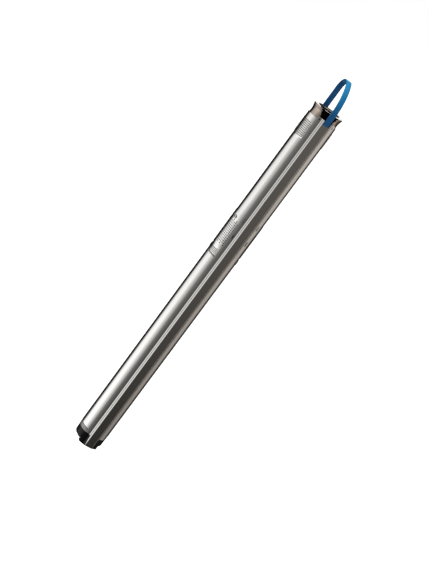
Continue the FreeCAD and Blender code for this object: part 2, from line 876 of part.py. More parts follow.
def top_chamber():
    """Last casing above the stages, with the arms and hub of the shaft's top bearing."""
    body = new_body("top_chamber", stages_top)
    top = d.top_chamber_height
    hub_bore = d.top_bearing_radius + d.fit_gap
    turn(
        body,
        "casing",
        [
            (chamber_bore, 0.0),
            (stack_radius, 0.0),
            (stack_radius, top),
            (d.inlet_radius, top),
            (d.inlet_radius, top - d.top_chamber_plate),
            (chamber_bore, top - d.bearing_hub_wall * 2),
        ],
    )
    arm = new_sketch(body, "arm")
    arm_end = (stack_radius - d.chamber_wall / 2, d.bearing_arm / 2)
    outline(arm, rectangle((hub_bore + d.fit_gap, -d.bearing_arm / 2), arm_end))
    ring_of(body, pad(body, "arm", arm, d.top_bearing_length), d.bearing_arms)
    turn(body, "hub", rectangle((hub_bore, 0.0), (hub_bore + d.bearing_hub_wall, d.top_bearing_length)))

    bearing = new_body("top_bearing", stages_top)
    turn(
        bearing,
        "bush",
        rectangle((d.journal_radius + d.running_gap, 0.0), (d.top_bearing_radius, d.top_bearing_length)),
    )


def suction_interconnector():
    """Open cage between the lowest stage and the motor; the water enters between its pillars."""
    body = new_body("suction_interconnector", spigot_level)
    top = interconnector_height
    inner = stack_radius - d.interconnector_wall
    turn(
        body,
        "cage",
        [
            (inner, 0.0),
            (stack_radius, 0.0),
            (stack_radius, top),
            (d.inlet_radius, top),
            (d.inlet_radius, top - d.interconnector_top),
            (inner, top - d.interconnector_flange),
        ],
    )
    opening = new_sketch(body, "opening", "XZ_Plane", turned=d.screw_angle - 90 - 180 / d.pillars)
    half = root(2 * stack_radius * stack_radius) / 2 - d.pillar_width / 2
    outline(opening, rectangle((-half, d.interconnector_flange), (half, top - d.interconnector_flange)))
    ring_of(body, pocket(body, "opening", opening, 2 * stack_radius), d.pillars)
    hole = new_sketch(body, "screw", "XZ_Plane", lift=-(inner + d.touch_gap), turned=d.screw_angle - 90)
    circle(hole, (0.0, d.screw_level - d.spigot_height), d.screw_radius + d.fit_gap)
    pocket(body, "screw_hole", hole, d.interconnector_wall)
    clear = d.socket_width / 2 + d.touch_gap
    notch = new_sketch(body, "socket_notch")
    outline(notch, rectangle((-clear, -2 * stack_radius), (clear, d.touch_gap - socket_back)))
    way = pocket(body, "socket_notch", notch, d.interconnector_flange)
    way.Reversed = True


def motor_top_shield():
    """Upper bearing shield: flange on the motor sleeve, plug inside it, spigot in the pump sleeve."""
    body = new_body("motor_top_shield", shield_bottom)
    plug_top = d.shield_plug
    flange_top = plug_top + d.shield_flange
    top = flange_top + d.spigot_height
    hub_bore = bush_radius + d.fit_gap
    seal_floor = top - d.seal_length
    turn(
        body,
        "shield",
        [
            (bush_bore + d.fit_gap, d.bush_length),
            (hub_bore, d.bush_length),
            (hub_bore, 0.0),
            (plug_radius, 0.0),
            (plug_radius, plug_top),
            (motor_radius, plug_top),
            (motor_radius, flange_top),
            (skirt_radius, flange_top),
            (skirt_radius, top),
            (d.seal_radius + d.fit_gap, top),
            (d.seal_radius + d.fit_gap, seal_floor),
            (bush_bore + d.fit_gap, seal_floor),
        ],
    )
    seat = new_sketch(body, "socket_seat", lift=top)
    clear = d.socket_width / 2 + d.fit_gap
    outline(seat, rectangle((-clear, -2 * motor_radius), (clear, d.fit_gap - socket_back)))
    pocket(body, "socket_seat", seat, d.spigot_height)
    hole = new_sketch(body, "filling_hole", lift=top)
    circle(hole, (0.0, d.filling_screw_offset), d.filling_screw_radius + d.fit_gap)
    pocket(body, "filling_hole", hole, d.filling_screw_length)

    screw = new_body("filling_screw", spigot_level - d.filling_screw_length)
    plug = new_sketch(screw, "plug")
    circle(plug, (0.0, d.filling_screw_offset), d.filling_screw_radius)
    pad(screw, "plug", plug, d.filling_screw_length)
    key = new_sketch(screw, "key", lift=d.filling_screw_length)
    slot = d.filling_screw_radius / 4
    reach = d.filling_screw_radius * 2
    outline(key, rectangle((-reach, d.filling_screw_offset - slot), (reach, d.filling_screw_offset + slot)))
    pocket(screw, "key", key, slot * 2)

    bearing = new_body("upper_bearing", shield_bottom)
    turn(bearing, "bush", rectangle((bush_bore, 0.0), (bush_radius, d.bush_length)))
    seal = new_body("shaft_seal", spigot_level - d.seal_length)
    lip = d.seal_length / 2
    turn(
        seal,
        "seal",
        [
            (bush_bore, 0.0),
            (d.seal_radius, 0.0),
            (d.seal_radius, d.seal_length),
            (d.seal_radius - d.bearing_hub_wall, d.seal_length),
            (bush_bore + d.bearing_hub_wall, lip),
            (bush_bore, lip),
        ],
    )

    socket = new_body("cable_socket", sleeve_bottom)
    half = d.socket_width / 2
    block = new_sketch(socket, "block")
    outline(block, rectangle((-half, -socket_front), (half, -socket_back)))
    pad(socket, "block", block, d.socket_height)
    contacts = new_sketch(socket, "contacts", lift=d.socket_height)
    for place in (-1, 0, 1):
        circle(contacts, (place * d.contact_pitch, -(socket_back + socket_front) / 2), d.contact_radius)
    pocket(socket, "contacts", contacts, d.contact_depth)


def motor_parts():
    """Motor sleeve, stator, can, lower shield with its bush, thrust bearing, diaphragm, electronics."""
    sleeve = new_body("motor_sleeve", motor_sleeve_bottom)
    turn(sleeve, "tube", rectangle((motor_bore, 0.0), (motor_radius, d.motor_length)))

    can = new_body("stator_can", can_bottom)
    turn(can, "tube", rectangle((d.can_radius - d.can_wall, 0.0), (d.can_radius, d.can_length)))
    core = new_body("stator_core", core_bottom)
    turn(core, "core", rectangle((d.can_radius + d.fit_gap, 0.0), (plug_radius, core_length)))
    winding = new_body("stator_winding", core_bottom - d.winding_height, many=True)
    bore = d.can_radius + d.touch_gap
    swell = d.winding_width / 4
    for name, base, tip in (
        ("lower", d.winding_height, size(0.0)),
        ("upper", d.winding_height + core_length, 2 * d.winding_height + core_length),
    ):
        outer = bore + d.winding_width
        turn(winding, name, [(bore, base), (bore, tip), (outer - swell, tip), (outer, base)])

    shield = new_body("motor_bottom_shield", bottom_shield_level)
    turn(shield, "shield", rectangle((bush_radius + d.fit_gap, 0.0), (plug_radius, d.bottom_shield)))
    bearing = new_body("lower_bearing", bottom_shield_level)
    turn(bearing, "bush", rectangle((bush_bore, 0.0), (bush_radius, d.bush_length)))

    pads_body = new_body("thrust_bearing_pads", pads_level, many=True)
    pad_ring = rectangle((d.pad_bore, 0.0), (d.thrust_disc_radius, d.pad_height))
    ring_of(pads_body, turn(pads_body, "pad", pad_ring, angle=d.pad_angle), d.pads)
    carrier = new_body("thrust_bearing_carrier", carrier_level)
    rim_bore = d.thrust_disc_radius + 2 * d.bush_wall
    rim_top = bottom_shield_level - carrier_level
    turn(
        carrier,
        "cup",
        [
            (d.motor_shaft_radius, 0.0),
            (plug_radius, 0.0),
            (plug_radius, rim_top),
            (rim_bore, rim_top),
            (rim_bore, d.carrier_floor),
            (d.motor_shaft_radius, d.carrier_floor),
        ],
    )
    diaphragm = new_body("diaphragm", diaphragm_level)
    depth = d.diaphragm_depth
    lip = plug_radius - d.diaphragm_taper
    turn(
        diaphragm,
        "cup",
        [
            (0.0, 0.0),
            (lip - d.diaphragm_taper, 0.0),
            (lip, depth - d.diaphragm_skin),
            (plug_radius, depth - d.diaphragm_skin),
            (plug_radius, depth),
            (lip - d.diaphragm_skin, depth),
            (lip - d.diaphragm_taper - d.diaphragm_skin, d.diaphragm_skin),
            (0.0, d.diaphragm_skin),
        ],
    )

    housing = new_body("electronics_housing", electronics_level)
    inside = plug_radius - d.electronics_wall
    turn(
        housing,
        "can",
        [
            (0.0, 0.0),
            (plug_radius, 0.0),
            (plug_radius, electronics_height),
            (inside, electronics_height),
            (inside, d.electronics_wall),
            (0.0, d.electronics_wall),
        ],
    )
    floor = electronics_level + d.electronics_wall
    board_length = electronics_height - d.electronics_wall - d.board_setback
    board = doc.addObject("Part::Box", "control_board")
    board.Label = "control_board"
    board_width = 2 * (inside - d.board_inset)
    bind(board, "Length", board_width)
    bind(board, "Width", d.board_thickness)
    bind(board, "Height", board_length)
    bind(board, "Placement.Base.x", -board_width / 2)
    bind(board, "Placement.Base.y", -d.board_thickness)
    bind(board, "Placement.Base.z", floor)
    pieces.append(board)
    cells = new_body("capacitors", floor, many=True)
    pitch = board_length / d.capacitors
    first = new_sketch(cells, "cell", lift=d.capacitor_gap / 2)
    circle(first, (0.0, d.capacitor_radius + d.fit_gap), d.capacitor_radius)
    row_of(cells, pad(cells, "cell", first, pitch - d.capacitor_gap), d.capacitors, pitch)


def guard_section(panel, wing, inset):
    """Half of the guard's hat section: panel corner, foot of the slanting wall, and wing edge.
    panel is the distance of the panel from the axis, wing the radius of the wings, and inset
    is how far the corner lies inside the guard's outer corner."""
    corner = (d.guard_panel / 2 - inset, panel)
    toward = corner[0] * cosine(d.guard_bend) - corner[1] * sine(d.guard_bend)
    reach = corner[0] * corner[0] + corner[1] * corner[1] - wing * wing
    run = -toward - root(toward * toward - reach)
    foot = (corner[0] + run * cosine(d.guard_bend), corner[1] - run * sine(d.guard_bend))
    edge = (wing * sine(d.guard_wing_angle), wing * cosine(d.guard_wing_angle))
    return corner, foot, edge


def corner_inset(thickness):
    """How far a bend's inner corner lies from its outer one, along the panel."""
    half = d.guard_bend / 2
    return thickness * sine(half) / cosine(half)


def cable_guard():
    """Folded stainless channel over the motor cable's way, with wings that lie on the threads."""
    wing_inside = thread_radius + d.fit_gap
    wing_outside = wing_inside + d.guard_sheet
    panel_inside = guard_radius - d.guard_sheet
    bottom = motor_sleeve_bottom - d.guard_tail
    length = -d.guard_top - bottom
    body = new_body("cable_guard", bottom)
    corner, foot, edge = guard_section(guard_radius, wing_outside, 0.0)
    corner_in, foot_in, edge_in = guard_section(panel_inside, wing_inside, corner_inset(d.guard_sheet))
    right = [edge, foot, corner]
    left = [corner_in, foot_in, edge_in]
    corners = [(x, -y) for x, y in right] + [(-x, -y) for x, y in reversed(right)]
    corners += [(-x, -y) for x, y in reversed(left)] + [(x, -y) for x, y in left]
    centre = (0.0, 0.0)
    section = new_sketch(body, "section")
    outline(section, corners, {0: centre, 4: centre, 6: centre, 10: centre})
    pad(body, "sheet", section, length)

    wide = 2 * guard_radius
    mouth = new_sketch(body, "mouth", lift=length)
    half = corner_in[0] - d.guard_sheet
    outline(mouth, rectangle((-half, -wide), (half, 0.0)))
    pocket(body, "mouth", mouth, d.guard_panel_cut)
    wing_end = d.guard_tail - d.guard_wing_stop
    clear = d.guard_panel / 2 + d.guard_tail_lip
    for name, near, far in (("left_wing_end", -wide, -clear), ("right_wing_end", clear, wide)):
        trim = new_sketch(body, name, lift=wing_end)
        outline(trim, rectangle((near, -wide), (far, 0.0)))
        pocket(body, name, trim, wing_end)
    for name, middle, height in (
        ("top_clip", length - d.top_clip_drop, d.top_clip_height),
        ("upper_clip", sleeve_bottom + d.upper_clip_level - bottom, d.clip_height),
        ("lower_clip", sleeve_bottom + d.lower_clip_level - bottom, d.clip_height),
    ):
        for side, sign in (("right", 1), ("left", -1)):
            slot = new_sketch(body, f"{side}_{name}", "XZ_Plane", turned=180 + sign * d.clip_angle)
            low = (-d.clip_width / 2, middle - height / 2)
            high = (d.clip_width / 2, middle + height / 2)
            outline(slot, rectangle(low, high))
            pocket(body, f"{side}_{name}", slot, wide)


def motor_end_cap():
    """Moulded cap under the motor, with a keel that fills the lower end of the guard."""
    body = new_body("motor_end_cap", cap_bottom)
    band_bottom = d.cap_height - d.cap_band
    turn(
        body,
        "cap",
        [
            (0.0, 0.0),
            (cap_radius - d.cap_corner, 0.0),
            (cap_radius, d.cap_corner),
            (cap_radius, band_bottom),
            (band_radius, band_bottom),
            (band_radius, d.cap_height),
            (plug_radius, d.cap_height),
            (plug_radius, d.cap_height + d.cap_plug),
            (0.0, d.cap_height + d.cap_plug),
        ],
        {1: (cap_radius - d.cap_corner, d.cap_corner)},
    )
    flute = new_sketch(body, "flute")
    floor = cap_radius - d.flute_depth
    outline(flute, rectangle((-d.flute_width / 2, floor), (d.flute_width / 2, 2 * cap_radius)))
    cut = pocket(body, "flute", flute, d.flute_top)
    cut.Reversed = True
    ring_of(body, cut, d.cap_flutes)

    panel_back = guard_radius - d.guard_sheet - d.touch_gap
    corner, foot, edge = guard_section(panel_back, thread_radius, corner_inset(d.guard_sheet + d.touch_gap))
    root_y = thread_radius / 2
    right = [(edge[0], root_y), edge, foot, corner]
    corners = [(x, -y) for x, y in right] + [(-x, -y) for x, y in reversed(right)]
    keel = new_sketch(body, "keel", lift=-d.keel_drop)
    outline(keel, corners, {1: (0.0, 0.0), 5: (0.0, 0.0)})
    pad(body, "keel", keel, d.keel_drop + d.cap_height - d.touch_gap)
    reach = panel_back + d.keel_round
    rounding = d.keel_round
    inner = panel_back + d.touch_gap - rounding
    turn(
        body,
        "keel_round",
        [
            (inner, -d.keel_drop),
            (inner, -d.keel_drop - rounding),
            (reach, -d.keel_drop - rounding),
            (reach, rounding - d.keel_drop),
            (inner + rounding, rounding - d.keel_drop),
        ],
        {4: (inner, rounding - d.keel_drop)},
        cut=True,
    )


def carrying_strap():
    """Flat plastic strap: up from behind the guard, over the head, and riveted to the neck."""
    body = new_body("carrying_strap")
    half = d.strap_thickness / 2
    near_out = guard_radius - d.guard_sheet - d.touch_gap
    near = near_out - half
    far = rim_radius + d.fit_gap + half
    turned = cosine(d.strap_lean_angle)
    rise = sine(d.strap_lean_angle)
    lean = d.strap_lean_radius
    bend = (far + near - lean * (1 - turned)) / (1 + turned)
    lean_centre = (lean - near, d.strap_lean_start)
    bend_centre = (far - bend, d.strap_lean_start + (lean - bend) * rise)
    foot_bottom = -(d.strap_foot_top + d.strap_foot)
    foot_in = -(thread_radius + d.touch_gap)
    pad_in = neck_radius + d.fit_gap
    pad_bottom = sleeve_top + d.touch_gap
    outer = [
        (-near_out, foot_bottom),
        (-near_out, d.strap_lean_start),
        (lean_centre[0] - (lean + half) * turned, lean_centre[1] + (lean + half) * rise),
        (far + half, bend_centre[1]),
        (far + half, pad_bottom),
    ]
    inner = [
        (pad_in, pad_bottom),
        (pad_in, -d.strap_pad_top),
        (far - half, d.strap_pad_slope - d.strap_pad_top),
        (far - half, bend_centre[1]),
        (lean_centre[0] - (lean - half) * turned, lean_centre[1] + (lean - half) * rise),
        (half - near, d.strap_lean_start),
        (half - near, -d.strap_foot_top + d.strap_pad_slope),
        (foot_in, -d.strap_foot_top),
        (foot_in, foot_bottom),
    ]
    side = new_sketch(body, "side", "YZ_Plane")
    outline(side, outer + inner, {1: lean_centre, 2: bend_centre, 8: bend_centre, 9: lean_centre})
    pad(body, "band", side, d.strap_width, both_ways=True)
    hole = new_sketch(body, "rivet", "XZ_Plane")
    circle(hole, (0.0, -d.rivet_level), d.rivet_radius + d.fit_gap)
    pocket(body, "rivet_hole", hole, 2 * rim_radius)
    sink = new_sketch(body, "rivet_sink", "XZ_Plane", lift=-(far + half - d.rivet_head))
    circle(sink, (0.0, -d.rivet_level), d.rivet_head_radius + d.fit_gap)
    pocket(body, "rivet_sink", sink, rim_radius)

    rivet = new_body("strap_rivet")
    tip = neck_radius - d.rivet_grip
    under = far + half - d.rivet_head + d.fit_gap / 2
    turn(
        rivet,
        "rivet",
        [
            (0.0, tip),
            (d.rivet_radius, tip),
            (d.rivet_radius, under),
            (d.rivet_head_radius, under),
            (d.rivet_head_radius, far + half),
            (0.0, far + half),
        ],
    )
    rivet.Placement = Placement(Vector(), Rotation(Vector(1, 0, 0), -90))
    bind(rivet, "Placement.Base.z", -d.rivet_level)


discharge_head()
valve_parts()
head_o_ring()
carrying_strap()
pump_sleeve()
lock_screw()
top_chamber()
for stage_number in range(1, SIZES["stage_count"] + 1):
    stage(stage_number)
rotating_parts()
suction_interconnector()
motor_top_shield()
motor_parts()
cable_guard()
motor_end_cap()
doc.recompute()

# Checks before anything is written
for item in doc.Objects:
    if "Invalid" in item.State or "Error" in item.State:
        raise RuntimeError(f"{item.Name} failed: {item.State}")
for body, feature in removals:
    before = feature.BaseFeature.Shape.Volume
    if feature.Shape.Volume >= before - 1e-6:
        raise RuntimeError(f"{feature.Name} cuts nothing")
for piece in pieces:
    shape = piece.Shape
    if shape.isNull() or not shape.isValid() or not shape.Solids:
        raise RuntimeError(f"{piece.Label} has no valid solid")

os.makedirs("parts", exist_ok=True)
for piece in pieces:
    piece.Shape.exportStep(f"parts/{piece.Label}.step")
print(len(pieces), "pieces written")
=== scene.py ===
import math

import bmesh
import bpy
import numpy as np
from mathutils import Matrix, Vector


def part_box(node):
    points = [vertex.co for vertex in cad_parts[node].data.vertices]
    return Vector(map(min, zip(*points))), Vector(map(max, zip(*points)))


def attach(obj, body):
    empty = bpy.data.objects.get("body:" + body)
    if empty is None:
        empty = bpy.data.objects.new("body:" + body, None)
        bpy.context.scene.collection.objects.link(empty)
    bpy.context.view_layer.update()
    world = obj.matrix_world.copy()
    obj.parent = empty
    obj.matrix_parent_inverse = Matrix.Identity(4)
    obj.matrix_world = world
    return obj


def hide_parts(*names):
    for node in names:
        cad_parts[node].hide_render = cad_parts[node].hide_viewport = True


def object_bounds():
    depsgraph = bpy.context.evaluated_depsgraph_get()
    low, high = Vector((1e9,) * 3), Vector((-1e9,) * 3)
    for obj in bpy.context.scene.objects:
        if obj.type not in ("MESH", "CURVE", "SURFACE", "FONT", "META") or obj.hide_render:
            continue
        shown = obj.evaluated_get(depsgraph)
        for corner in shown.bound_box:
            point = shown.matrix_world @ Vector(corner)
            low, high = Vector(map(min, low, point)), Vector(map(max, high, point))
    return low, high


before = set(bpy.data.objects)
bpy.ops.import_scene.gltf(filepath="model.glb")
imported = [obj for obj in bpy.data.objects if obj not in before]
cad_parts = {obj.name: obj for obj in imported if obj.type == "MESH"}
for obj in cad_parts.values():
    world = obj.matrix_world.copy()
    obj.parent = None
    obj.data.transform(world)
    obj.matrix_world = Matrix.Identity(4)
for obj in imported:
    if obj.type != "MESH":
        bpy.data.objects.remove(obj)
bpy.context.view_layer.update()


# Discharge head. A stainless steel casting whose rim, neck and threaded bowl are turned, with a flat
# recess cut into its front for the strap and the cable. It plugs the top of the pump sleeve.
def span(node):
    """The lowest and highest corner of a CAD node, in millimetres."""
    return [np.array(corner) * 1000 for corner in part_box(node)]


def linear(hex_colour):
    """The linear colour of an sRGB hex value: the sRGB curve undone for each of its channels."""
    channels = np.array([int(hex_colour[i : i + 2], 16) for i in (1, 3, 5)]) / 255
    low = channels / 12.92
    high = ((channels + 0.055) / 1.055) ** 2.4
    return (*np.where(channels <= 0.04045, low, high), 1.0)


def add_node(tree, kind, values=None, sources=None, **settings):
    """Adds one shader node with its settings, its inputs' values and the sockets that feed it."""
    made = tree.nodes.new(kind)
    for name, setting in settings.items():
        setattr(made, name, setting)
    for name, value in (values or {}).items():
        made.inputs[name].default_value = value
    for name, socket in (sources or {}).items():
        tree.links.new(socket, made.inputs[name])
    return made


def new_material(name, colour, metallic, roughness):
    """A material with one Principled shader. Returns the material, its node tree and the shader."""
    made = bpy.data.materials.new(name)
    made.use_nodes = True
    shader = made.node_tree.nodes["Principled BSDF"]
    shader.inputs["Base Color"].default_value = linear(colour)
    shader.inputs["Metallic"].default_value = metallic
    shader.inputs["Roughness"].default_value = roughness
    return made, made.node_tree, shader


def grain(tree, shader, width, length, relief, roughness):
    """A grain on Object coordinates: noise of the given width across the axis and length along it,
    in millimetres. It raises the surface by relief, and moves the roughness between two values."""
    place = add_node(tree, "ShaderNodeTexCoord")
    scale = (1000 / width, 1000 / width, 1000 / length)
    mapping = add_node(tree, "ShaderNodeMapping", {"Scale": scale}, {"Vector": place.outputs["Object"]})
    noise = add_node(
        tree,
        "ShaderNodeTexNoise",
        {"Scale": 1.0, "Detail": 3.0, "Roughness": 0.55},
        {"Vector": mapping.outputs["Vector"]},
    )
    bump = add_node(
        tree,
        "ShaderNodeBump",
        {"Strength": 1.0, "Distance": relief / 1000},
        {"Height": noise.outputs["Fac"]},
    )
    spread = add_node(
        tree,
        "ShaderNodeMapRange",
        {"From Min": 0.3, "From Max": 0.7, "To Min": roughness[0], "To Max": roughness[1]},
        {"Value": noise.outputs["Fac"]},
    )
    tree.links.new(bump.outputs["Normal"], shader.inputs["Normal"])
    tree.links.new(spread.outputs["Result"], shader.inputs["Roughness"])


def quads(rows, columns, wrap_rows=False, wrap_columns=False):
    """Corner numbers of a grid's quads: each point, its right, upper right and upper neighbour."""
    row = np.arange(rows if wrap_rows else rows - 1)[:, None]
    column = np.arange(columns if wrap_columns else columns - 1)[None, :]
    above = (row + 1) % rows * columns
    right = (column + 1) % columns
    here = row * columns
    return np.stack([here + column, here + right, above + right, above + column], -1).reshape(-1, 4)


def ringed(rings, closed=False):
    """A patch whose rings of points each close on themselves. closed joins the last to the first."""
    return rings, quads(*rings.shape[:2], closed, True)


def new_piece(name, patches, body, material, replaced=(), wall=0.0, sharp=38.0):
    """Makes one mesh from patches of (points in millimetres, quads), welds their shared edges and
    turns its faces outwards. wall gives an open skin its thickness, inwards, and sharp is the
    angle in degrees from which an edge between two faces stays crisp."""
    counts = np.cumsum([0] + [points.reshape(-1, 3).shape[0] for points, faces in patches])
    corners = np.concatenate([points.reshape(-1, 3) for points, faces in patches]) / 1000
    faces = np.concatenate([faces + start for (points, faces), start in zip(patches, counts)])
    mesh = bpy.data.meshes.new(name)
    mesh.from_pydata(corners.tolist(), [], faces.tolist())
    work = bmesh.new()
    work.from_mesh(mesh)
    bmesh.ops.remove_doubles(work, verts=work.verts, dist=2e-6)
    bmesh.ops.dissolve_degenerate(work, dist=1e-6, edges=work.edges)
    bmesh.ops.recalc_face_normals(work, faces=work.faces)
    at_rim = [edge.is_boundary for edge in work.edges]
    work.to_mesh(mesh)
    work.free()
    mesh.shade_smooth()
    mesh.set_sharp_from_angle(angle=math.radians(sharp))
    # A cut edge stays crisp when the wall is added
    for edge, cut in zip(mesh.edges, at_rim):
        edge.use_edge_sharp = edge.use_edge_sharp or cut
    mesh.materials.append(material)
    made = bpy.data.objects.new(name.replace(" ", "_"), mesh)
    bpy.context.scene.collection.objects.link(made)
    if wall:
        shell = made.modifiers.new("wall", "SOLIDIFY")
        shell.thickness = wall / 1000
        shell.offset = -1.0
    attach(made, body)
    if replaced:
        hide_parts(*replaced)


def soften(corners, cuts, steps=5):
    """Rounds a closed outline. Each corner becomes a quadratic curve between the two points that lie
    its cut away along its sides: (1-t)(1-t) start + 2t(1-t) corner + t t end."""
    corners = np.array(corners, float)
    cuts = np.broadcast_to(np.array(cuts, float), len(corners))[:, None]
    before = np.roll(corners, 1, 0) - corners
    after = np.roll(corners, -1, 0) - corners
    reach_before = np.linalg.norm(before, axis=1)[:, None]
    reach_after = np.linalg.norm(after, axis=1)[:, None]
    start = corners + before / reach_before * np.minimum(cuts, 0.45 * reach_before)
    end = corners + after / reach_after * np.minimum(cuts, 0.45 * reach_after)
    t = np.linspace(0, 1, steps)[None, :, None]
    curve = (1 - t) ** 2 * start[:, None] + 2 * t * (1 - t) * corners[:, None] + t**2 * end[:, None]
    return curve.reshape(-1, 2)


def around(radius, angle, level):
    """Points at a radius, an angle about the pump's axis and a level, all broadcast together."""
    radius, angle, level = np.broadcast_arrays(radius, angle, level)
    return np.stack([radius * np.cos(angle), radius * np.sin(angle), level], -1)


head_low, head_high = span("discharge_head")
sleeve_low, sleeve_high = span("pump_sleeve")
rim_top = head_high[2]
rim_radius = head_high[0]
sleeve_top = sleeve_high[2]
bore_radius = 22.42
mouth_radius = bore_radius + 2.0
thread_depth = 1.48
thread_pitch = 25.4 / 11
thread_end = rim_top - 18.5
rim_low = rim_top - 3.2
groove_radius = rim_radius - 1.6
groove_low = rim_top - 4.6
bead_radius = rim_radius - 0.9
neck_top = rim_top - 5.8
neck_radius = rim_radius - 2.6
neck_sweep = 30.0
skirt_radius = neck_radius + 0.5
skirt_top = sleeve_top - 2
skirt_bore = 28.0
valve_bore = 25.5
valve_low = rim_top - 52
stop_bore = 20.5
stop_low = rim_top - 25.4
stop_top = rim_top - 20
recess_distance = rim_radius - 6.1
recess_angle = math.radians(-96)
notch_angle = math.radians(15)
notch_half = 1.75
notch_floor = rim_top - 3.6
notch_radius = 28.0

# The neck is a hollow arc of radius neck_sweep from the rim's bead down to the skirt
neck_ends = np.array([[bead_radius, neck_top], [neck_radius, sleeve_top + 2]])
neck_chord = neck_ends[1] - neck_ends[0]
neck_length = np.linalg.norm(neck_chord)
neck_out = np.array([-neck_chord[1], neck_chord[0]]) / neck_length
neck_middle = neck_ends.mean(0) + neck_out * math.sqrt(neck_sweep**2 - neck_length**2 / 4)
neck_turns = np.arctan2(*(neck_ends - neck_middle)[:, ::-1].T) % (2 * math.pi)
neck_turns = np.linspace(*neck_turns, 14)
neck = neck_middle + neck_sweep * np.stack([np.cos(neck_turns), np.sin(neck_turns)], -1)
rim_corners = [
    (mouth_radius, rim_top),
    (rim_radius, rim_top),
    (rim_radius, rim_low),
    (groove_radius, rim_low),
    (groove_radius, groove_low),
    (bead_radius, groove_low),
    (bead_radius, neck_top),
    (mouth_radius, neck_top),
]
corner_points = 5
rim_outline = soften(rim_corners, [0.4, 1.1, 0.3, 0.2, 0.2, 0.3, 0.2, 0], corner_points)
# The last corner only guides the rounding of the two beside it
rim_outline = rim_outline[:-corner_points]
skirt = np.array(
    [
        (neck_radius, sleeve_top),
        (neck_radius, skirt_top),
        (skirt_radius, skirt_top),
        (skirt_radius, head_low[2]),
        (skirt_bore, head_low[2]),
        (skirt_bore, valve_low),
        (valve_bore, valve_low),
        (valve_bore, stop_low),
        (stop_bore, stop_low),
        (stop_bore, stop_top),
        (bore_radius, stop_top),
        (bore_radius, thread_end),
    ]
)
bowl_rows = 86
bowl_rise = np.linspace(thread_end, rim_top - 2.0, bowl_rows)
bowl = np.stack([np.full(bowl_rows, bore_radius), bowl_rise], -1)
section = np.concatenate([rim_outline, neck, skirt, bowl])

round_points = 260
notch_points = 7
notch_turn = notch_half / notch_radius
turns = np.concatenate(
    [
        np.linspace(notch_turn, 2 * math.pi - notch_turn, round_points),
        np.linspace(-notch_turn, notch_turn, notch_points),
    ]
)
in_notch = np.arange(len(turns)) >= round_points
turns = np.where(turns > math.pi, turns - 2 * math.pi, turns)
row = np.arange(len(section))[:, None]
radius = section[:, :1]
level = section[:, 1:]
# Near the notch the points keep their distance from its middle at every radius, so that its sides
# are parallel, and this fades out round the head
parallel_turn = 0.15
fading_turn = 0.4
fade = np.clip(1 - (np.abs(turns) - parallel_turn) / fading_turn, 0, 1)
angle = notch_angle + turns * (1 + (notch_radius / radius - 1) * fade)
# The pipe thread: the distance to the nearest crest of a helix, with flats at crest and root
flank = 1.25
crest_flat = 0.12
in_thread = row >= len(section) - bowl_rows
turned = level / thread_pitch - angle / (2 * math.pi)
valley = np.clip(flank * np.abs(2 * (turned % 1) - 1) - crest_flat, 0, 1)
lead_in = np.clip((level - thread_end) / thread_pitch, 0, 1)
radius = radius + np.where(in_thread, thread_depth * valley * lead_in, 0)
# The front recess: outside, down to the sleeve, nothing reaches past a flat face. At the back of
# the head that face is out of reach, and least_facing keeps its distance finite.
least_facing = 0.2
flat = recess_distance / np.maximum(np.cos(angle - recess_angle), least_facing)
outer_rows = len(rim_outline) + len(neck) + 1
above_sleeve = (level > sleeve_top - 0.01) & (row < outer_rows)
radius = np.where(above_sleeve, np.minimum(radius, flat), radius)
level = np.where(in_notch, np.minimum(level, notch_floor), level)

# Cast and turned stainless steel: a warm, slightly soft gleam, with the fine ripple of the casting.
# Its front recess is painted nearly black, as painted shade.
steel_colour = "#a99c90"
cast_steel, tree, shader = new_material("Cast stainless steel, turned", steel_colour, 1.0, 0.18)
grain(tree, shader, 1.2, 0.8, 0.004, (0.12, 0.22))
place = add_node(tree, "ShaderNodeTexCoord")
recess_way = (math.cos(recess_angle), math.sin(recess_angle), 0)
reach = add_node(
    tree,
    "ShaderNodeVectorMath",
    {1: recess_way},
    {0: place.outputs["Object"]},
    operation="DOT_PRODUCT",
)
# Painted shade: faces at the recess's flat are mixed to a near-black colour
recess_shade_mask = add_node(
    tree,
    "ShaderNodeMapRange",
    {"From Min": (recess_distance - 0.2) / 1000, "From Max": (recess_distance - 0.05) / 1000},
    {"Value": reach.outputs["Value"]},
)
recess_shade_colour = add_node(
    tree,
    "ShaderNodeMix",
    {"A": linear(steel_colour), "B": linear("#15120f")},
    {"Factor": recess_shade_mask.outputs["Result"]},
    data_type="RGBA",
)
# The colour output of a Mix node is its socket 2
tree.links.new(recess_shade_colour.outputs[2], shader.inputs["Base Color"])
new_piece(
    "head casting",
    [ringed(around(radius, angle, level), closed=True)],
    "housing",
    cast_steel,
    ["discharge_head"],
)


# Non-return valve and its rubber. Moulded seat and guide in the head, a turned steel cone on a
# light wire spring, and nitrile rings that seal it. They show only down through the port.
def dress(nodes, material):
    """Gives CAD nodes one material."""
    for name in nodes:
        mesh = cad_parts[name].data
        mesh.materials.clear()
        mesh.materials.append(material)


# Glass-filled polyamide, moulded: black, dry and faintly mottled by its fibres
stage_plastic, tree, shader = new_material("Glass-filled polyamide, moulded black", "#232326", 0.0, 0.55)
grain(tree, shader, 0.8, 0.8, 0.02, (0.45, 0.65))
dress(["valve_seat", "valve_guide"], stage_plastic)

# Turned stainless steel: bright, with fine rings left by the tool
turned_steel, tree, shader = new_material("Stainless steel, turned", "#c2c0bb", 1.0, 0.25)
grain(tree, shader, 6.0, 0.15, 0.004, (0.2, 0.32))
dress(["valve_cone", "valve_spring"], turned_steel)

# Nitrile rubber, moulded: black with a dull bloom
rubber, tree, shader = new_material("Nitrile rubber, moulded", "#1c1c1c", 0.0, 0.6)
grain(tree, shader, 0.5, 0.5, 0.015, (0.5, 0.7))
dress(["valve_seal_ring", "head_o_ring"], rubber)


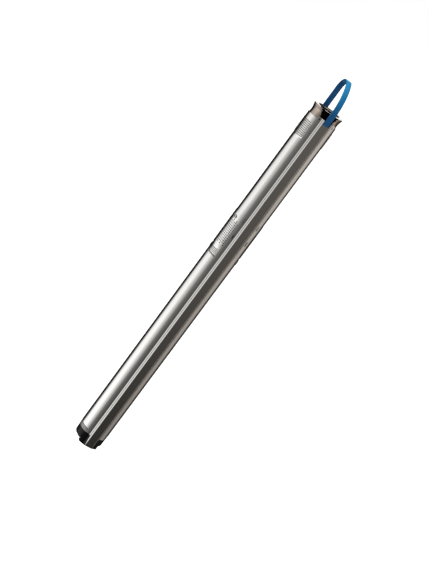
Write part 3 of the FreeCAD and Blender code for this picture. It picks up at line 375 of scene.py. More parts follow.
# Carrying strap. A flat moulded band of blue polyamide: its thick foot sits behind the cable guard,
# and it arches over the port to a pad riveted to the back of the neck.
def carried(path, normal, across, inner, outer, width, rounding):
    """A rounded rectangle carried along a path. Each ring's points lie at path + normal times the
    depth + across times the breadth, and the two ends shrink to their middle."""
    ring_points = 32
    depth_inner, depth_outer = np.broadcast_arrays(inner, outer)
    turn = np.linspace(0, 2 * math.pi, ring_points, endpoint=False)
    corner_x = np.sign(np.cos(turn)) * (width / 2 - rounding) + rounding * np.cos(turn)
    share = 0.5 + 0.5 * np.sign(np.sin(turn))
    middle = depth_inner[:, None] + rounding + (depth_outer - depth_inner - 2 * rounding)[:, None] * share
    deep = middle + rounding * np.sin(turn)
    rings = path[:, None] + normal[:, None] * deep[..., None] + across * corner_x[None, :, None]
    start = np.repeat(rings[:1].mean(1, keepdims=True), ring_points, 1)
    end = np.repeat(rings[-1:].mean(1, keepdims=True), ring_points, 1)
    return np.concatenate([start, rings, end])


strap_low, strap_high = span("carrying_strap")
strap_width = strap_high[0] - strap_low[0]
strap_half = 1.0
near_leg = strap_low[1] + strap_half
far_leg = strap_high[1] - strap_half
# The band rises straight to the level lean_start, leans back on a wide arc, and turns over on a
# tight one, which starts where the wide one ends and comes down to the far leg
lean_radius = 78.0
lean_turn = math.radians(55)
lean_start = 0.0
lean_cosine = math.cos(lean_turn)
bend_radius = (far_leg - near_leg - lean_radius * (1 - lean_cosine)) / (1 + lean_cosine)
lean_middle = np.array([near_leg + lean_radius, lean_start])
lean_end = np.array([-lean_cosine, math.sin(lean_turn)])
bend_middle = lean_middle + (lean_radius - bend_radius) * lean_end
lean = math.pi - np.linspace(0, lean_turn, 24)
bend = np.linspace(math.pi - lean_turn, 0, 48)[1:]
foot_height = 7.6
# The near leg's levels, closer together where the foot's thickness changes
leg_up = np.array([0.0, 1.2, 5.4, 6.0, foot_height, 9.0, 20.0, 40.0]) + strap_low[2]
leg_down = np.linspace(bend_middle[1], sleeve_top + 0.3, 40)[1:]
path_y = np.concatenate(
    [
        np.full(len(leg_up), near_leg),
        lean_middle[0] + lean_radius * np.cos(lean),
        bend_middle[0] + bend_radius * np.cos(bend),
        np.full(len(leg_down), far_leg),
    ]
)
path_z = np.concatenate(
    [
        leg_up,
        lean_middle[1] + lean_radius * np.sin(lean),
        bend_middle[1] + bend_radius * np.sin(bend),
        leg_down,
    ]
)
out_y = np.concatenate([np.full(len(leg_up), -1.0), np.cos(lean), np.cos(bend), np.full(len(leg_down), 1.0)])
out_z = np.concatenate([np.zeros(len(leg_up)), np.sin(lean), np.sin(bend), np.zeros(len(leg_down))])
path = np.stack([np.zeros_like(path_y), path_y, path_z], -1)
outward = np.stack([np.zeros_like(out_y), out_y, out_z], -1)
# The foot is thicker inwards, and the pad fills the room to the neck, each with a short slope
slope = 1.6
foot_depth = 1.5
foot = foot_depth * np.clip((strap_low[2] + foot_height - path_z) / slope, 0, 1) * (path_y < 0)
pad_top = rim_top - 10.8
pad_depth = far_leg - strap_half - (neck_radius + 0.1)
pad = pad_depth * np.clip((pad_top - path_z) / slope, 0, 1) * (path_y > 0)
# The pad's outer face lies a little lower, so that the rivet's dome ends level with the band
seat_top = rim_top - 10.0
seat_depth = 0.5
rivet_seat = seat_depth * np.clip((seat_top - path_z) / slope, 0, 1) * (path_y > 0)
inner_face = -strap_half - foot - pad
outer_face = strap_half - rivet_seat
across_band = np.array([1.0, 0, 0])
edge_rounding = 0.8
band = carried(path, outward, across_band, inner_face, outer_face, strap_width, edge_rounding)

# Polyamide, moulded blue: satin and deep blue, with a painted highlight that makes it lighter toward the
# bend's top
deep_blue = "#044b7c"
blue_polyamide, tree, shader = new_material("Polyamide, moulded blue", deep_blue, 0.0, 0.36)
shader.inputs["Specular IOR Level"].default_value = 0.4
grain(tree, shader, 1.5, 6.0, 0.002, (0.32, 0.4))
place = add_node(tree, "ShaderNodeTexCoord")
apart = add_node(tree, "ShaderNodeSeparateXYZ", None, {"Vector": place.outputs["Object"]})
# The painted highlight grows upwards to the bend's top, and forwards from the far leg
height = add_node(
    tree,
    "ShaderNodeMapRange",
    {"From Min": 0.0, "From Max": 0.066},
    {"Value": apart.outputs["Z"]},
)
depth = add_node(
    tree,
    "ShaderNodeMapRange",
    {"From Min": 0.028, "From Max": 0.012},
    {"Value": apart.outputs["Y"]},
)
painted_bend_highlight = add_node(
    tree,
    "ShaderNodeMath",
    None,
    {0: height.outputs["Result"], 1: depth.outputs["Result"]},
    operation="MULTIPLY",
)
# Painted highlight: the blue is mixed toward a lighter blue where the highlight grows
highlighted_blue = add_node(
    tree,
    "ShaderNodeMix",
    {"A": linear(deep_blue), "B": linear("#0082b4")},
    {"Factor": painted_bend_highlight.outputs["Value"]},
    data_type="RGBA",
)
tree.links.new(highlighted_blue.outputs[2], shader.inputs["Base Color"])
new_piece(
    "moulded strap",
    [ringed(band)],
    "housing",
    blue_polyamide,
    ["carrying_strap"],
)


# Strap rivet. A turned steel rivet with a shallow dome, set through the strap's pad into the blind
# hole at the back of the neck.
def turned_piece(outline, centre, axis, sides=48):
    """An outline of (radius, height) turned about an axis through a centre."""
    outline = np.array(outline, float)
    axis = np.array(axis, float) / np.linalg.norm(axis)
    side = np.cross(axis, [0, 0, 1.0])
    side = side / np.linalg.norm(side) if np.linalg.norm(side) > 0.1 else np.array([1.0, 0, 0])
    other = np.cross(axis, side)
    turn = np.linspace(0, 2 * math.pi, sides, endpoint=False)[None, :, None]
    wheel = side * np.cos(turn) + other * np.sin(turn)
    return np.array(centre) + outline[:, :1, None] * wheel + outline[:, 1:, None] * axis


rivet_low, rivet_high = span("strap_rivet")
rivet_level = (rivet_low[2] + rivet_high[2]) / 2
rivet_outline = [(0, 0), (1.6, -0.04), (2.6, -0.15), (3.3, -0.35), (3.4, -0.7)]
rivet_outline += [(2.0, -0.7), (2.0, -6.9), (0, -6.9)]
rivet = turned_piece(rivet_outline, (0, rivet_high[1], rivet_level), (0, 1, 0))
new_piece(
    "pad rivet",
    [ringed(rivet)],
    "housing",
    turned_steel,
    ["strap_rivet"],
)


# Pump sleeve. A drawn stainless steel tube with a round thread rolled into each end. Its wider
# lower part is punched with rows of round strainer holes, and has longer windows below them.
tube_radius = 33.3
strainer_radius = 34.0
tube_wall = 1.0
ridge_height = sleeve_high[0] - tube_radius
sleeve_bottom = sleeve_low[2]
# Each rolled thread's top, bottom and pitch
upper_thread = (-35.0, -73.0, 3.8)
lower_thread = (-359.0, -371.8, 3.2)
cell_columns = 48
cell_points = 4
hole_pitch = 4.37
hole_radius = 1.4
hole_rows = 14
strainer_top = -286.6
strainer_bottom = strainer_top - hole_rows * hole_pitch
window_angle = math.radians(188)
window_bottom = -356.0
window_level = -351.2
window_half = 2.75
window_straight = 0.35
cone_low = sleeve_bottom + 16
cone_high = sleeve_bottom + 103
cone_length = 3.0
# The guard's middle, the half angle it covers, its slots' middles and the socket's half angle
guard_angle = math.radians(-90)
covered = math.radians(35)
clip_turn = math.radians(27.8)
plug_half = math.radians(15)


def tube_surface(turn, level):
    """Radius of the sleeve: the tube, wider between two cones, plus its rolled threads. A thread is
    a raised cosine of the height along the helix, faded in and out over half a pitch at each end,
    and its power makes the crests a little narrower than the valleys."""
    ridge_power = 1.3
    widened = np.clip((level - cone_low) / cone_length, 0, 1)
    widened = widened * np.clip((cone_high - level) / cone_length, 0, 1)
    radius = tube_radius + (strainer_radius - tube_radius) * widened
    for top, bottom, pitch in (upper_thread, lower_thread):
        phase = level / pitch - turn / (2 * math.pi)
        ridge = (0.5 - 0.5 * np.cos(2 * math.pi * phase)) ** ridge_power
        fading = np.clip((top - level) / pitch, 0, 1) * np.clip((level - bottom) / pitch, 0, 1)
        radius = radius + ridge_height * ridge * np.clip(2 * fading, 0, 1)
    return radius


def on_tube(turn, level):
    """Points of the sleeve at an angle and a level."""
    turn, level = np.broadcast_arrays(turn, level)
    return around(tube_surface(turn, level), turn, level)


def from_guard(turn):
    """An angle's distance from the guard's middle, between minus half a turn and half a turn."""
    return (turn - guard_angle + math.pi) % (2 * math.pi) - math.pi


columns = cell_columns * cell_points
turns = window_angle + np.arange(columns + 1) / columns * 2 * math.pi
half_column = math.pi / columns
# The middle of the column that starts at each angle, from the guard's middle
off_guard = from_guard(turns) + half_column
thread_levels = np.linspace(*upper_thread[:2], 91)
plain_levels = np.linspace(-80, cone_high, 6)
tab_levels = np.array([-272.0, -282.0])
upper_levels = [[sleeve_top, sleeve_top - 0.25], thread_levels, plain_levels, tab_levels, [strainer_top]]
upper_levels = np.concatenate(upper_levels)
upper = on_tube(turns[None, :], upper_levels[:, None])
upper_quads = quads(*upper.shape[:2])
# Under the guard's slots above the strainer the sleeve is cut away for the tabs that hold the guard
under_tab = upper_levels[upper_quads[:, 0] // (columns + 1)] == tab_levels[0]
beside = np.abs(off_guard[upper_quads[:, 0] % (columns + 1)])
under_tab = under_tab & (np.abs(beside - clip_turn) < 2.2 * half_column)
patches = [(upper, upper_quads[~under_tab])]

# Strainer cells: a square ring of sixteen points, and inside it the round hole's sixteen points
edge = np.linspace(-1, 1, cell_points + 1)[:-1]
ones = np.ones(cell_points)
square_x = np.concatenate([edge, ones, -edge, -ones])
square_y = np.concatenate([-ones, edge, ones, -edge])
square = np.stack([square_x, square_y], -1)
cell_row, cell_column = np.meshgrid(np.arange(hole_rows), np.arange(cell_columns), indexing="ij")
cell_row, cell_column = cell_row.ravel(), cell_column.ravel()
cell_turn = 2 * math.pi / cell_columns
cell_middle = window_angle + (cell_column + 0.5) * cell_turn
cell_level = strainer_top - (cell_row + 0.5) * hole_pitch
off_cell = from_guard(cell_middle)
# The first and last row have every other hole only
outer_row = (cell_row == 0) | (cell_row == hole_rows - 1)
skipped = outer_row & ((cell_column + (cell_row > 0)) % 2 == 1)
punched = (np.abs(off_cell) > covered) & ~skipped
# Two cells are cut away in the same way under each of the guard's slots over the strainer
tab_rows = (6, 7)
tab_cell = np.abs(np.abs(off_cell) - clip_turn) < cell_turn / 2
tab_cell = tab_cell & np.isin(cell_row, tab_rows)
ring_turn = cell_middle[:, None] + square[None, :, 0] * cell_turn / 2
ring_level = cell_level[:, None] + square[None, :, 1] * hole_pitch / 2
unit = square / np.linalg.norm(square, axis=1)[:, None]
hole_turn = cell_middle[:, None] + unit[None, :, 0] * hole_radius / strainer_radius
hole_level = cell_level[:, None] + unit[None, :, 1] * hole_radius
# An unpunched cell closes its hole ring to its middle
hole_turn = np.where(punched[:, None], hole_turn, cell_middle[:, None])
hole_level = np.where(punched[:, None], hole_level, cell_level[:, None])
rings = np.stack([on_tube(ring_turn, ring_level), on_tube(hole_turn, hole_level)], 1)
ring_quads = quads(2, square.shape[0], False, True)
cell_start = np.arange(len(cell_row))[:, None, None] * rings.shape[1] * rings.shape[2]
patches.append((rings, (ring_quads[None] + cell_start)[~tab_cell].reshape(-1, 4)))

# Window band: plain columns between blocks that have an obround window each. The block under the
# guard is left out, where the cable socket fills the opening.
window_levels = np.linspace(strainer_bottom, window_bottom, cell_points + 1)
window_band = on_tube(turns[None, :], window_levels[:, None])
band_quads = quads(*window_band.shape[:2])
quad_column = band_quads[:, 0] % (columns + 1)
quarter = columns // 4
from_window = (quad_column + cell_points) % quarter
under_plug = np.abs(off_guard[quad_column]) < plug_half
keep = (from_window >= 2 * cell_points) & ~under_plug
patches.append((window_band, band_quads[keep]))
block_edge = np.linspace(-1, 1, 2 * cell_points + 1)[:-1]
side_edge = np.linspace(-1, 1, cell_points + 1)[:-1]
flat_edge = np.ones(2 * cell_points)
tall_edge = np.ones(cell_points)
block_x = np.concatenate([block_edge, tall_edge, -block_edge, -tall_edge])
block_y = np.concatenate([-flat_edge, side_edge, flat_edge, -side_edge])
block_half = (strainer_bottom - window_bottom) / 2
block_level = (strainer_bottom + window_bottom) / 2
turn_to = np.arctan2(block_y, block_x)
obround_x = window_half * np.cos(turn_to)
obround_y = window_half * np.sin(turn_to) + window_straight * np.sign(np.round(np.sin(turn_to), 6))
for quarter_turn in range(4):
    middle = window_angle + quarter_turn * math.pi / 2
    if abs(from_guard(middle)) < plug_half:
        continue
    outside = on_tube(middle + block_x * cell_turn, block_level + block_y * block_half)
    inside = on_tube(middle + obround_x / strainer_radius, window_level + obround_y)
    patches.append(ringed(np.stack([outside, inside])))

thread_levels = np.linspace(lower_thread[0] + 0.4, lower_thread[1] - 0.2, 34)
low_levels = [[window_bottom, cone_low], thread_levels, [sleeve_bottom + 0.2, sleeve_bottom]]
low_levels = np.concatenate(low_levels)
lower = on_tube(turns[None, :], low_levels[:, None])
low_quads = quads(*lower.shape[:2])
low_column = low_quads[:, 0] % (columns + 1)
patches.append((lower, low_quads[np.abs(off_guard[low_column]) >= plug_half]))

# Drawn and polished stainless steel: a clear mirror-like streak along the tube, softened by the
# draw marks that run lengthwise. The marks are drawn wider than life, so that they show.
tube_steel, tree, shader = new_material("Stainless steel tube, drawn and polished", "#dddbd8", 1.0, 0.14)
grain(tree, shader, 0.9, 60.0, 0.003, (0.1, 0.17))
new_piece(
    "strainer tube",
    patches,
    "housing",
    tube_steel,
    ["pump_sleeve"],
    wall=tube_wall,
    sharp=50,
)


# Lock screw. A dome-headed steel screw with a small socket, turned and polished. It passes through
# the sleeve into the suction cage, and keeps the sleeve from unscrewing.
screw_angle = math.radians(202)
screw_level = sleeve_bottom + 90
screw_out = np.array([math.cos(screw_angle), math.sin(screw_angle), 0])
screw_seat = screw_out * (strainer_radius + 0.1) + [0, 0, screw_level]
screw_outline = [(0, 0.5), (1.3, 0.5), (1.35, 1.55), (2.6, 1.35), (3.7, 0.9)]
screw_outline += [(4.4, 0.3), (4.5, 0.0), (2.2, 0.0), (2.2, -4.4), (0, -4.4)]
screw = turned_piece(screw_outline, screw_seat, screw_out, 42)
new_piece(
    "dome screw",
    [ringed(screw)],
    "housing",
    turned_steel,
    ["sleeve_lock_screw"],
)


# Pump stages. Each has a moulded chamber with its guide vanes, a pale low-friction neck ring and a
# grey impeller, all stacked in the sleeve on a ground hexagonal shaft.
stages = range(1, 1 + sum(name.startswith("chamber_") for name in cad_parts))
dress([f"chamber_{n}" for n in stages] + ["top_chamber"], stage_plastic)

# Polyphenylene sulphide, moulded dark grey: smoother and a little glossier than the chambers
impeller_plastic, tree, shader = new_material("Polyphenylene sulphide, moulded", "#3a3a3d", 0.0, 0.42)
grain(tree, shader, 0.6, 0.6, 0.01, (0.36, 0.5))
dress([f"impeller_{n}" for n in stages], impeller_plastic)

# Filled fluoropolymer, machined: pale, waxy, faintly ringed by the tool
ring_polymer, tree, shader = new_material("Filled fluoropolymer, machined", "#d9d6cc", 0.0, 0.38)
grain(tree, shader, 4.0, 0.2, 0.006, (0.32, 0.46))
dress([f"neck_ring_{n}" for n in stages], ring_polymer)

# Ground stainless steel: bright shafts with very fine rings
ground_steel, tree, shader = new_material("Stainless steel, ground", "#bdbbb7", 1.0, 0.16)
grain(tree, shader, 8.0, 0.1, 0.002, (0.12, 0.22))
dress(["pump_shaft", "shaft_spacers", "shaft_coupling", "motor_shaft"], ground_steel)
dress(["shaft_nut"], turned_steel)

# Sintered carbide and carbon, lapped: nearly black with a hard, even gleam
lapped_carbide, tree, shader = new_material("Sintered carbide, lapped", "#3b3b3e", 0.6, 0.22)
grain(tree, shader, 0.3, 0.3, 0.002, (0.18, 0.28))
bearings = ["top_bearing", "upper_bearing", "lower_bearing", "thrust_disc", "thrust_bearing_pads"]
dress(bearings, lapped_carbide)


# Suction cage, motor shields and thrust carrier. Cast stainless steel, blasted and then machined
# where they fit, with a rubber shaft seal and diaphragm, and a turned screw in the filling hole.
castings = ["suction_interconnector", "motor_top_shield", "motor_bottom_shield", "thrust_bearing_carrier"]

# Blasted casting: a grey, soft, granular shine
blasted_steel, tree, shader = new_material("Stainless steel casting, blasted", "#8f8d89", 1.0, 0.42)
grain(tree, shader, 0.7, 0.7, 0.02, (0.36, 0.52))
dress(castings, blasted_steel)
dress(["shaft_seal", "diaphragm"], rubber)
dress(["filling_screw"], turned_steel)


# Cable socket. A black moulded block under the guard, with three contact holes for the motor lead.
# It fills the opening at the foot of the sleeve, and is a little duller than the end cap.
socket_plastic, tree, shader = new_material("Thermoplastic socket, moulded", "#18181a", 0.0, 0.45)
grain(tree, shader, 0.6, 0.6, 0.01, (0.38, 0.52))
dress(["cable_socket"], socket_plastic)


# Motor inside. Laminated stator and rotor cores, copper end windings, a thin drawn can, and the
# electronics in their own can, with a green board and three capacitors.

# Stacked electrical steel: dull grey, with faint lines of about half a millimetre across the axis
core_steel, tree, shader = new_material("Electrical steel, stacked", "#6e6d6c", 1.0, 0.45)
grain(tree, shader, 20.0, 0.5, 0.02, (0.35, 0.55))
dress(["stator_core", "rotor_core"], core_steel)

# Enamelled copper wire: warm, glossy and ribbed by its turns
copper_wire, tree, shader = new_material("Enamelled copper wire", "#a8552c", 0.85, 0.3)
grain(tree, shader, 5.0, 0.9, 0.15, (0.24, 0.36))
dress(["stator_winding"], copper_wire)

# Thin drawn stainless steel: a clean satin skin
drawn_can, tree, shader = new_material("Stainless steel can, deep drawn", "#b9b7b3", 1.0, 0.3)
grain(tree, shader, 0.8, 30.0, 0.004, (0.25, 0.36))
dress(["stator_can", "electronics_housing"], drawn_can)

# Glass-epoxy laminate: green lacquer with a faint weave of about one millimetre
laminate, tree, shader = new_material("Glass-epoxy laminate, green", "#1f5a3a", 0.0, 0.35)
grain(tree, shader, 1.0, 1.0, 0.01, (0.3, 0.42))
dress(["control_board"], laminate)

# Drawn aluminium: pale cans with a soft shine
aluminium_can, tree, shader = new_material("Aluminium can, drawn", "#b8babd", 1.0, 0.35)
grain(tree, shader, 0.6, 12.0, 0.004, (0.3, 0.42))
dress(["capacitors"], aluminium_can)


# Motor sleeve. A long drawn stainless steel tube, polished like the pump sleeve, with its ends
# slightly rounded where they close on the shield above and the cap below.
motor_low, motor_high = span("motor_sleeve")
motor_radius = motor_high[0]
motor_wall = 0.9
motor_outline = soften(
    [
        (motor_radius, motor_high[2]),
        (motor_radius - motor_wall, motor_high[2]),
        (motor_radius - motor_wall, motor_low[2]),
        (motor_radius, motor_low[2]),
    ],
    [0.5, 0.1, 0.1, 0.6],
)
motor_sides = 192
motor_turns = np.linspace(0, 2 * math.pi, motor_sides, endpoint=False)
motor_tube = around(motor_outline[:, :1], motor_turns[None, :], motor_outline[:, 1:])
new_piece(
    "motor tube",
    [ringed(motor_tube, closed=True)],
    "housing",
    tube_steel,
    ["motor_sleeve"],
)


# Motor end cap. Black glass-filled polyamide, moulded with shallow grip flutes and with a keel that
# fills the lower end of the cable guard. Its neck goes up through the closing ring to the sleeve.
cap_radius = 33.0
cap_bottom = motor_low[2] - 32.5
ring_height = 10.0
ring_low = motor_low[2] - ring_height
flutes = 10
flute_half = 3.5
flute_depth = 1.2
flute_top = cap_bottom + 19
cap_corner = 7.5
cap_flat = 12
pole_radius = 0.01
corner_turn = np.linspace(0, math.pi / 2, 10)
corner_radii = cap_radius - cap_corner * (1 - np.sin(corner_turn))
corner_levels = cap_bottom + cap_corner * (1 - np.cos(corner_turn))
cap_rows = np.concatenate(
    [
        [[pole_radius, cap_bottom], [cap_flat, cap_bottom]],
        np.stack([corner_radii, corner_levels], -1),
        [[cap_radius, flute_top - 1.5], [cap_radius, flute_top], [cap_radius, flute_top + 0.8]],
        [[cap_radius, ring_low], [cap_radius - 1, ring_low]],
        [[cap_radius - 1, motor_low[2]], [pole_radius, motor_low[2]]],
    ]
)
cap_turns = np.linspace(0, 2 * math.pi, 360, endpoint=False)
flute_turn = 2 * math.pi / flutes
across_flute = np.abs((cap_turns + math.pi / 2) % flute_turn - flute_turn / 2)
across_flute = cap_radius * np.abs(across_flute - flute_turn / 2)
flute_side = 0.6
sunk = np.clip((flute_half - across_flute) / flute_side + 0.5, 0, 1)
open_rows = (cap_rows[:, 0] > cap_radius - cap_corner) & (cap_rows[:, 1] <= flute_top)
cap_surface = cap_rows[:, :1] - flute_depth * sunk[None, :] * open_rows[:, None]
cap_body = around(cap_surface, cap_turns[None, :], cap_rows[:, 1:])

# The keel's plan, of (side, distance to the front): a flank inside the cap, an arc under the guard's
# wing from wing_turn to the foot of its slanting wall, and a rounded corner at its front panel
wing_turn = math.radians(37.8)
keel_radius = 34.6
keel_flank = 21.2
keel_foot = np.array([12.72, 32.18])
keel_front = 38.4
keel_corner = np.array([8.0, keel_front])
keel_turn = np.linspace(wing_turn, math.atan2(keel_foot[0], keel_foot[1]), 10)
keel_side = np.concatenate(
    [
        [[keel_flank, 16.0], [keel_flank, 24.0]],
        np.stack([keel_radius * np.sin(keel_turn), keel_radius * np.cos(keel_turn)], -1),
        [keel_corner + [0.9, -1.1], keel_corner + [0.3, -0.3], keel_corner + [-0.6, 0]],
    ]
)
keel_plan = np.concatenate([keel_side, keel_side[::-1] * [-1, 1]]) * [1, -1]
keel_bottom = span("motor_end_cap")[0][2]
keel_top = motor_low[2] - 0.3
keel_round = 6.0
keel_rows = np.concatenate([np.linspace(0, keel_round, 9), [12.0, keel_top - keel_bottom]])
# The lower front edge is a quarter circle: no point lies further out than it allows at its level
under_round = np.clip(keel_round - keel_rows, 0, keel_round)
keel_limit = keel_front - keel_round + np.sqrt(np.maximum(0, keel_round**2 - under_round**2))
keel_reach = np.linalg.norm(keel_plan, axis=1)
keel_scale = np.minimum(1, keel_limit[:, None] / keel_reach[None, :])
keel_skin = np.concatenate(
    [
        keel_plan[None] * keel_scale[..., None],
        np.broadcast_to((keel_rows + keel_bottom)[:, None, None], (*keel_scale.shape, 1)),
    ],
    -1,
)
keel_middle = -22.0
lower_end = np.broadcast_to(np.array([0, keel_middle, keel_bottom]), (1, *keel_skin.shape[1:]))
upper_end = np.broadcast_to(np.array([0, keel_middle, keel_top]), (1, *keel_skin.shape[1:]))
keel_skin = np.concatenate([lower_end, keel_skin, upper_end])

# Glass-filled polyamide, moulded black with a fine eroded texture: deep black with a faint sheen
cap_plastic, tree, shader = new_material("Glass-filled polyamide, eroded texture", "#040404", 0.0, 0.34)
shader.inputs["Specular IOR Level"].default_value = 0.18
grain(tree, shader, 0.5, 0.5, 0.008, (0.28, 0.4))
new_piece(
    "cap moulding",
    [ringed(cap_body), ringed(keel_skin)],
    "housing",
    cap_plastic,
    ["motor_end_cap"],
    sharp=30,
)


# Closing ring. A stainless steel ring, turned and blasted, round the end cap's neck. It closes the
# lower end of the motor sleeve.
ring_radius = 33.4
ring_bore = ring_radius - 2
ring_top = motor_low[2] - 0.1
ring_corners = [(ring_radius, ring_top), (ring_bore, ring_top)]
ring_corners += [(ring_bore, ring_low), (ring_radius, ring_low)]
ring_outline = soften(ring_corners, [0.4, 0.1, 0.1, 0.5])
closing_ring = around(ring_outline[:, :1], motor_turns[None, :], ring_outline[:, 1:])
new_piece(
    "closing ring",
    [ringed(closing_ring, closed=True)],
    "housing",
    blasted_steel,
)


# Cable guard. One strip of cold-rolled stainless steel, folded to a channel over the motor cable.
# Its two wings lie over the sleeve's threads. Three short slots in each let tabs hold it.
guard_low, guard_high = span("cable_guard")
sheet_wall = 0.6
guard_front = -guard_low[1]
wing_radius = 35.3
panel_half = 8.2
wall_turn = math.radians(54)
clip_half = 1.2 / wing_radius
guard_top = guard_high[2]
guard_bottom = guard_low[2]
panel_top = guard_top - 8.5
wing_bottom = motor_low[2] - 8
along_wall = np.array([math.cos(wall_turn), -math.sin(wall_turn)])
toward = panel_half * along_wall[0] + guard_front * along_wall[1]
run = -toward - math.sqrt(toward**2 - (panel_half**2 + guard_front**2 - wing_radius**2))
wall_foot = np.array([panel_half, guard_front]) + run * along_wall
foot_turn = math.atan2(wall_foot[0], wall_foot[1])
wing_turns = np.concatenate(
    [
        np.linspace(wing_turn, clip_turn + clip_half, 4),
        np.linspace(clip_turn - clip_half, foot_turn + 0.03, 4),
    ]
)
wing = np.stack([wing_radius * np.sin(wing_turns), wing_radius * np.cos(wing_turns)], -1)
# A shallow crease runs along the middle of each slanting wall
wall_way = np.array([panel_half, guard_front]) - wall_foot
wall_out = np.array([-wall_way[1], wall_way[0]]) / np.linalg.norm(wall_way)
wall_out = wall_out * np.sign(wall_out @ wall_foot)
crease_along = np.array([[0.40], [0.49], [0.58]])
crease_depth = np.array([[0], [0.45], [0]])
crease = wall_foot + crease_along * wall_way - crease_depth * wall_out
bend_points = 6
bend_corners = [wing[-1], wall_foot, *crease, (panel_half, guard_front), (0, guard_front)]
bends = soften(bend_corners, [0, 1.0, 0.12, 0.08, 0.12, 0.9, 0], bend_points)[bend_points:-bend_points]
half_strip = np.concatenate([wing, bends, [[panel_half - 1.2, guard_front], [0.0, guard_front]]])
strip = np.concatenate([half_strip, half_strip[-2::-1] * [-1, 1]])
strip_side = np.abs(strip[:, 0])
# The strip's upper end: the panel is cut lower between its bends, and the wings' tips are rounded
mouth_half = panel_half - 0.9
mouth_side = 0.3
mouth = np.clip((mouth_half - strip_side) / mouth_side, 0, 1)
tip_start = 19.4
tip_reach = 2.0
strip_top = guard_top - (guard_top - panel_top) * mouth
strip_top = strip_top - np.clip((strip_side - tip_start) / tip_reach, 0, 1) ** 2 * tip_reach
# Its lower end: the wings end above the panel's tip
tail_half = panel_half + 2.2
tail_side = 0.8
tail = np.clip((tail_half - strip_side) / tail_side, 0, 1)
strip_bottom = wing_bottom + (guard_bottom - wing_bottom) * tail
# The slots' middles and half lengths, from the top down
clip_levels = np.array([-21.5, -277.0, -317.0])
clip_reach = np.array([3.0, 5.5, 5.5])
clip_rows = np.concatenate([clip_levels - clip_reach, clip_levels + clip_reach])
plain_rows = np.linspace(-45, guard_bottom + 12, 18)
end_rows = [guard_top, panel_top, wing_bottom, guard_bottom]
strip_rows = np.unique(np.concatenate([clip_rows, plain_rows, end_rows]))[::-1]
strip_level = np.clip(strip_rows[:, None], strip_bottom[None, :], strip_top[None, :])
guard_skin = np.stack(np.broadcast_arrays(strip[None, :, 0], -strip[None, :, 1], strip_level), -1)
guard_quads = quads(*guard_skin.shape[:2])
quad_row = guard_quads[:, 0] // len(strip)
quad_column = guard_quads[:, 0] % len(strip)
slot_column = 3
in_slot_column = (quad_column == slot_column) | (quad_column == len(strip) - 2 - slot_column)
row_middle = (strip_rows[quad_row] + strip_rows[np.minimum(quad_row + 1, len(strip_rows) - 1)]) / 2
in_slot_row = (np.abs(row_middle[:, None] - clip_levels) < clip_reach).any(1)
guard_patches = [(guard_skin, guard_quads[~(in_slot_column & in_slot_row)])]
# At the two slots above the strainer a tab of the strip is bent inwards, from its upper end down
tab_sunk = np.array([[1.2], [3.2]])
tab_gap = 0.6
tab_radii = wing_radius - tab_sunk
tab_ends = clip_levels[1] + (clip_reach[1] - tab_gap) * np.array([[1], [-1]])
for tab_middle in (guard_angle - clip_turn, guard_angle + clip_turn):
    tab_turns = tab_middle + clip_half * np.array([[-0.9, 0.9]])
    guard_patches.append((around(tab_radii, tab_turns, tab_ends), quads(2, 2)))

# Cold-rolled stainless strip: greyer than the tubes, with a soft lengthwise sheen
strip_steel, tree, shader = new_material("Stainless steel strip, cold rolled", "#c9c7c3", 1.0, 0.17)
grain(tree, shader, 0.8, 80.0, 0.003, (0.13, 0.21))
new_piece(
    "folded guard",
    guard_patches,
    "housing",
    strip_steel,
    ["cable_guard"],
    wall=sheet_wall,
    sharp=28,
)


# Studio. The pump hangs over a pale floor in a white room. A tall soft lamp stands to the left of
# the camera and a weaker one to the right, and dark walls between them give the steel its edges.
# Places and sizes are in metres here.
camera_azimuth = math.radians(-20)
camera_elevation = math.radians(16.28)
camera_roll = math.radians(36.556)
camera_distance = 3.0
camera_target = Vector((0.0251, 0.0003, -0.4367))
photo_height = 571
focal_pixels = 1440


def seen_rays(tree):
    """One for camera, glossy and transmission rays, and none for the rays that light the object."""
    rays = add_node(tree, "ShaderNodeLightPath").outputs
    seen = rays["Is Camera Ray"]
    for kind in ("Is Glossy Ray", "Is Transmission Ray"):
        both = {0: seen, 1: rays[kind]}
        seen = add_node(tree, "ShaderNodeMath", None, both, operation="ADD", use_clamp=True).outputs["Value"]
    return seen


floor_half = 30.0
floor_drop = 1.9
floor_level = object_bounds()[0].z - floor_drop
floor_mesh = bpy.data.meshes.new("floor")
floor_corners = [(x * floor_half, y * floor_half, 0) for x, y in ((-1, -1), (1, -1), (1, 1), (-1, 1))]
floor_mesh.from_pydata(floor_corners, [], [(0, 1, 2, 3)])
floor = bpy.data.objects.new("floor", floor_mesh)
floor.location.z = floor_level
bpy.context.scene.collection.objects.link(floor)
floor_paint = bpy.data.materials.new("Matt white studio floor")
floor_paint.use_nodes = True
tree = floor_paint.node_tree
tree.nodes.clear()
paint = add_node(tree, "ShaderNodeBsdfDiffuse", {"Color": linear("#ececec")})
glow = add_node(tree, "ShaderNodeEmission", {"Color": (1, 1, 1, 1)}, {"Strength": seen_rays(tree)})
both = add_node(tree, "ShaderNodeAddShader", None, {0: paint.outputs["BSDF"], 1: glow.outputs["Emission"]})
add_node(tree, "ShaderNodeOutputMaterial", None, {"Surface": both.outputs["Shader"]})
floor_mesh.materials.append(floor_paint)

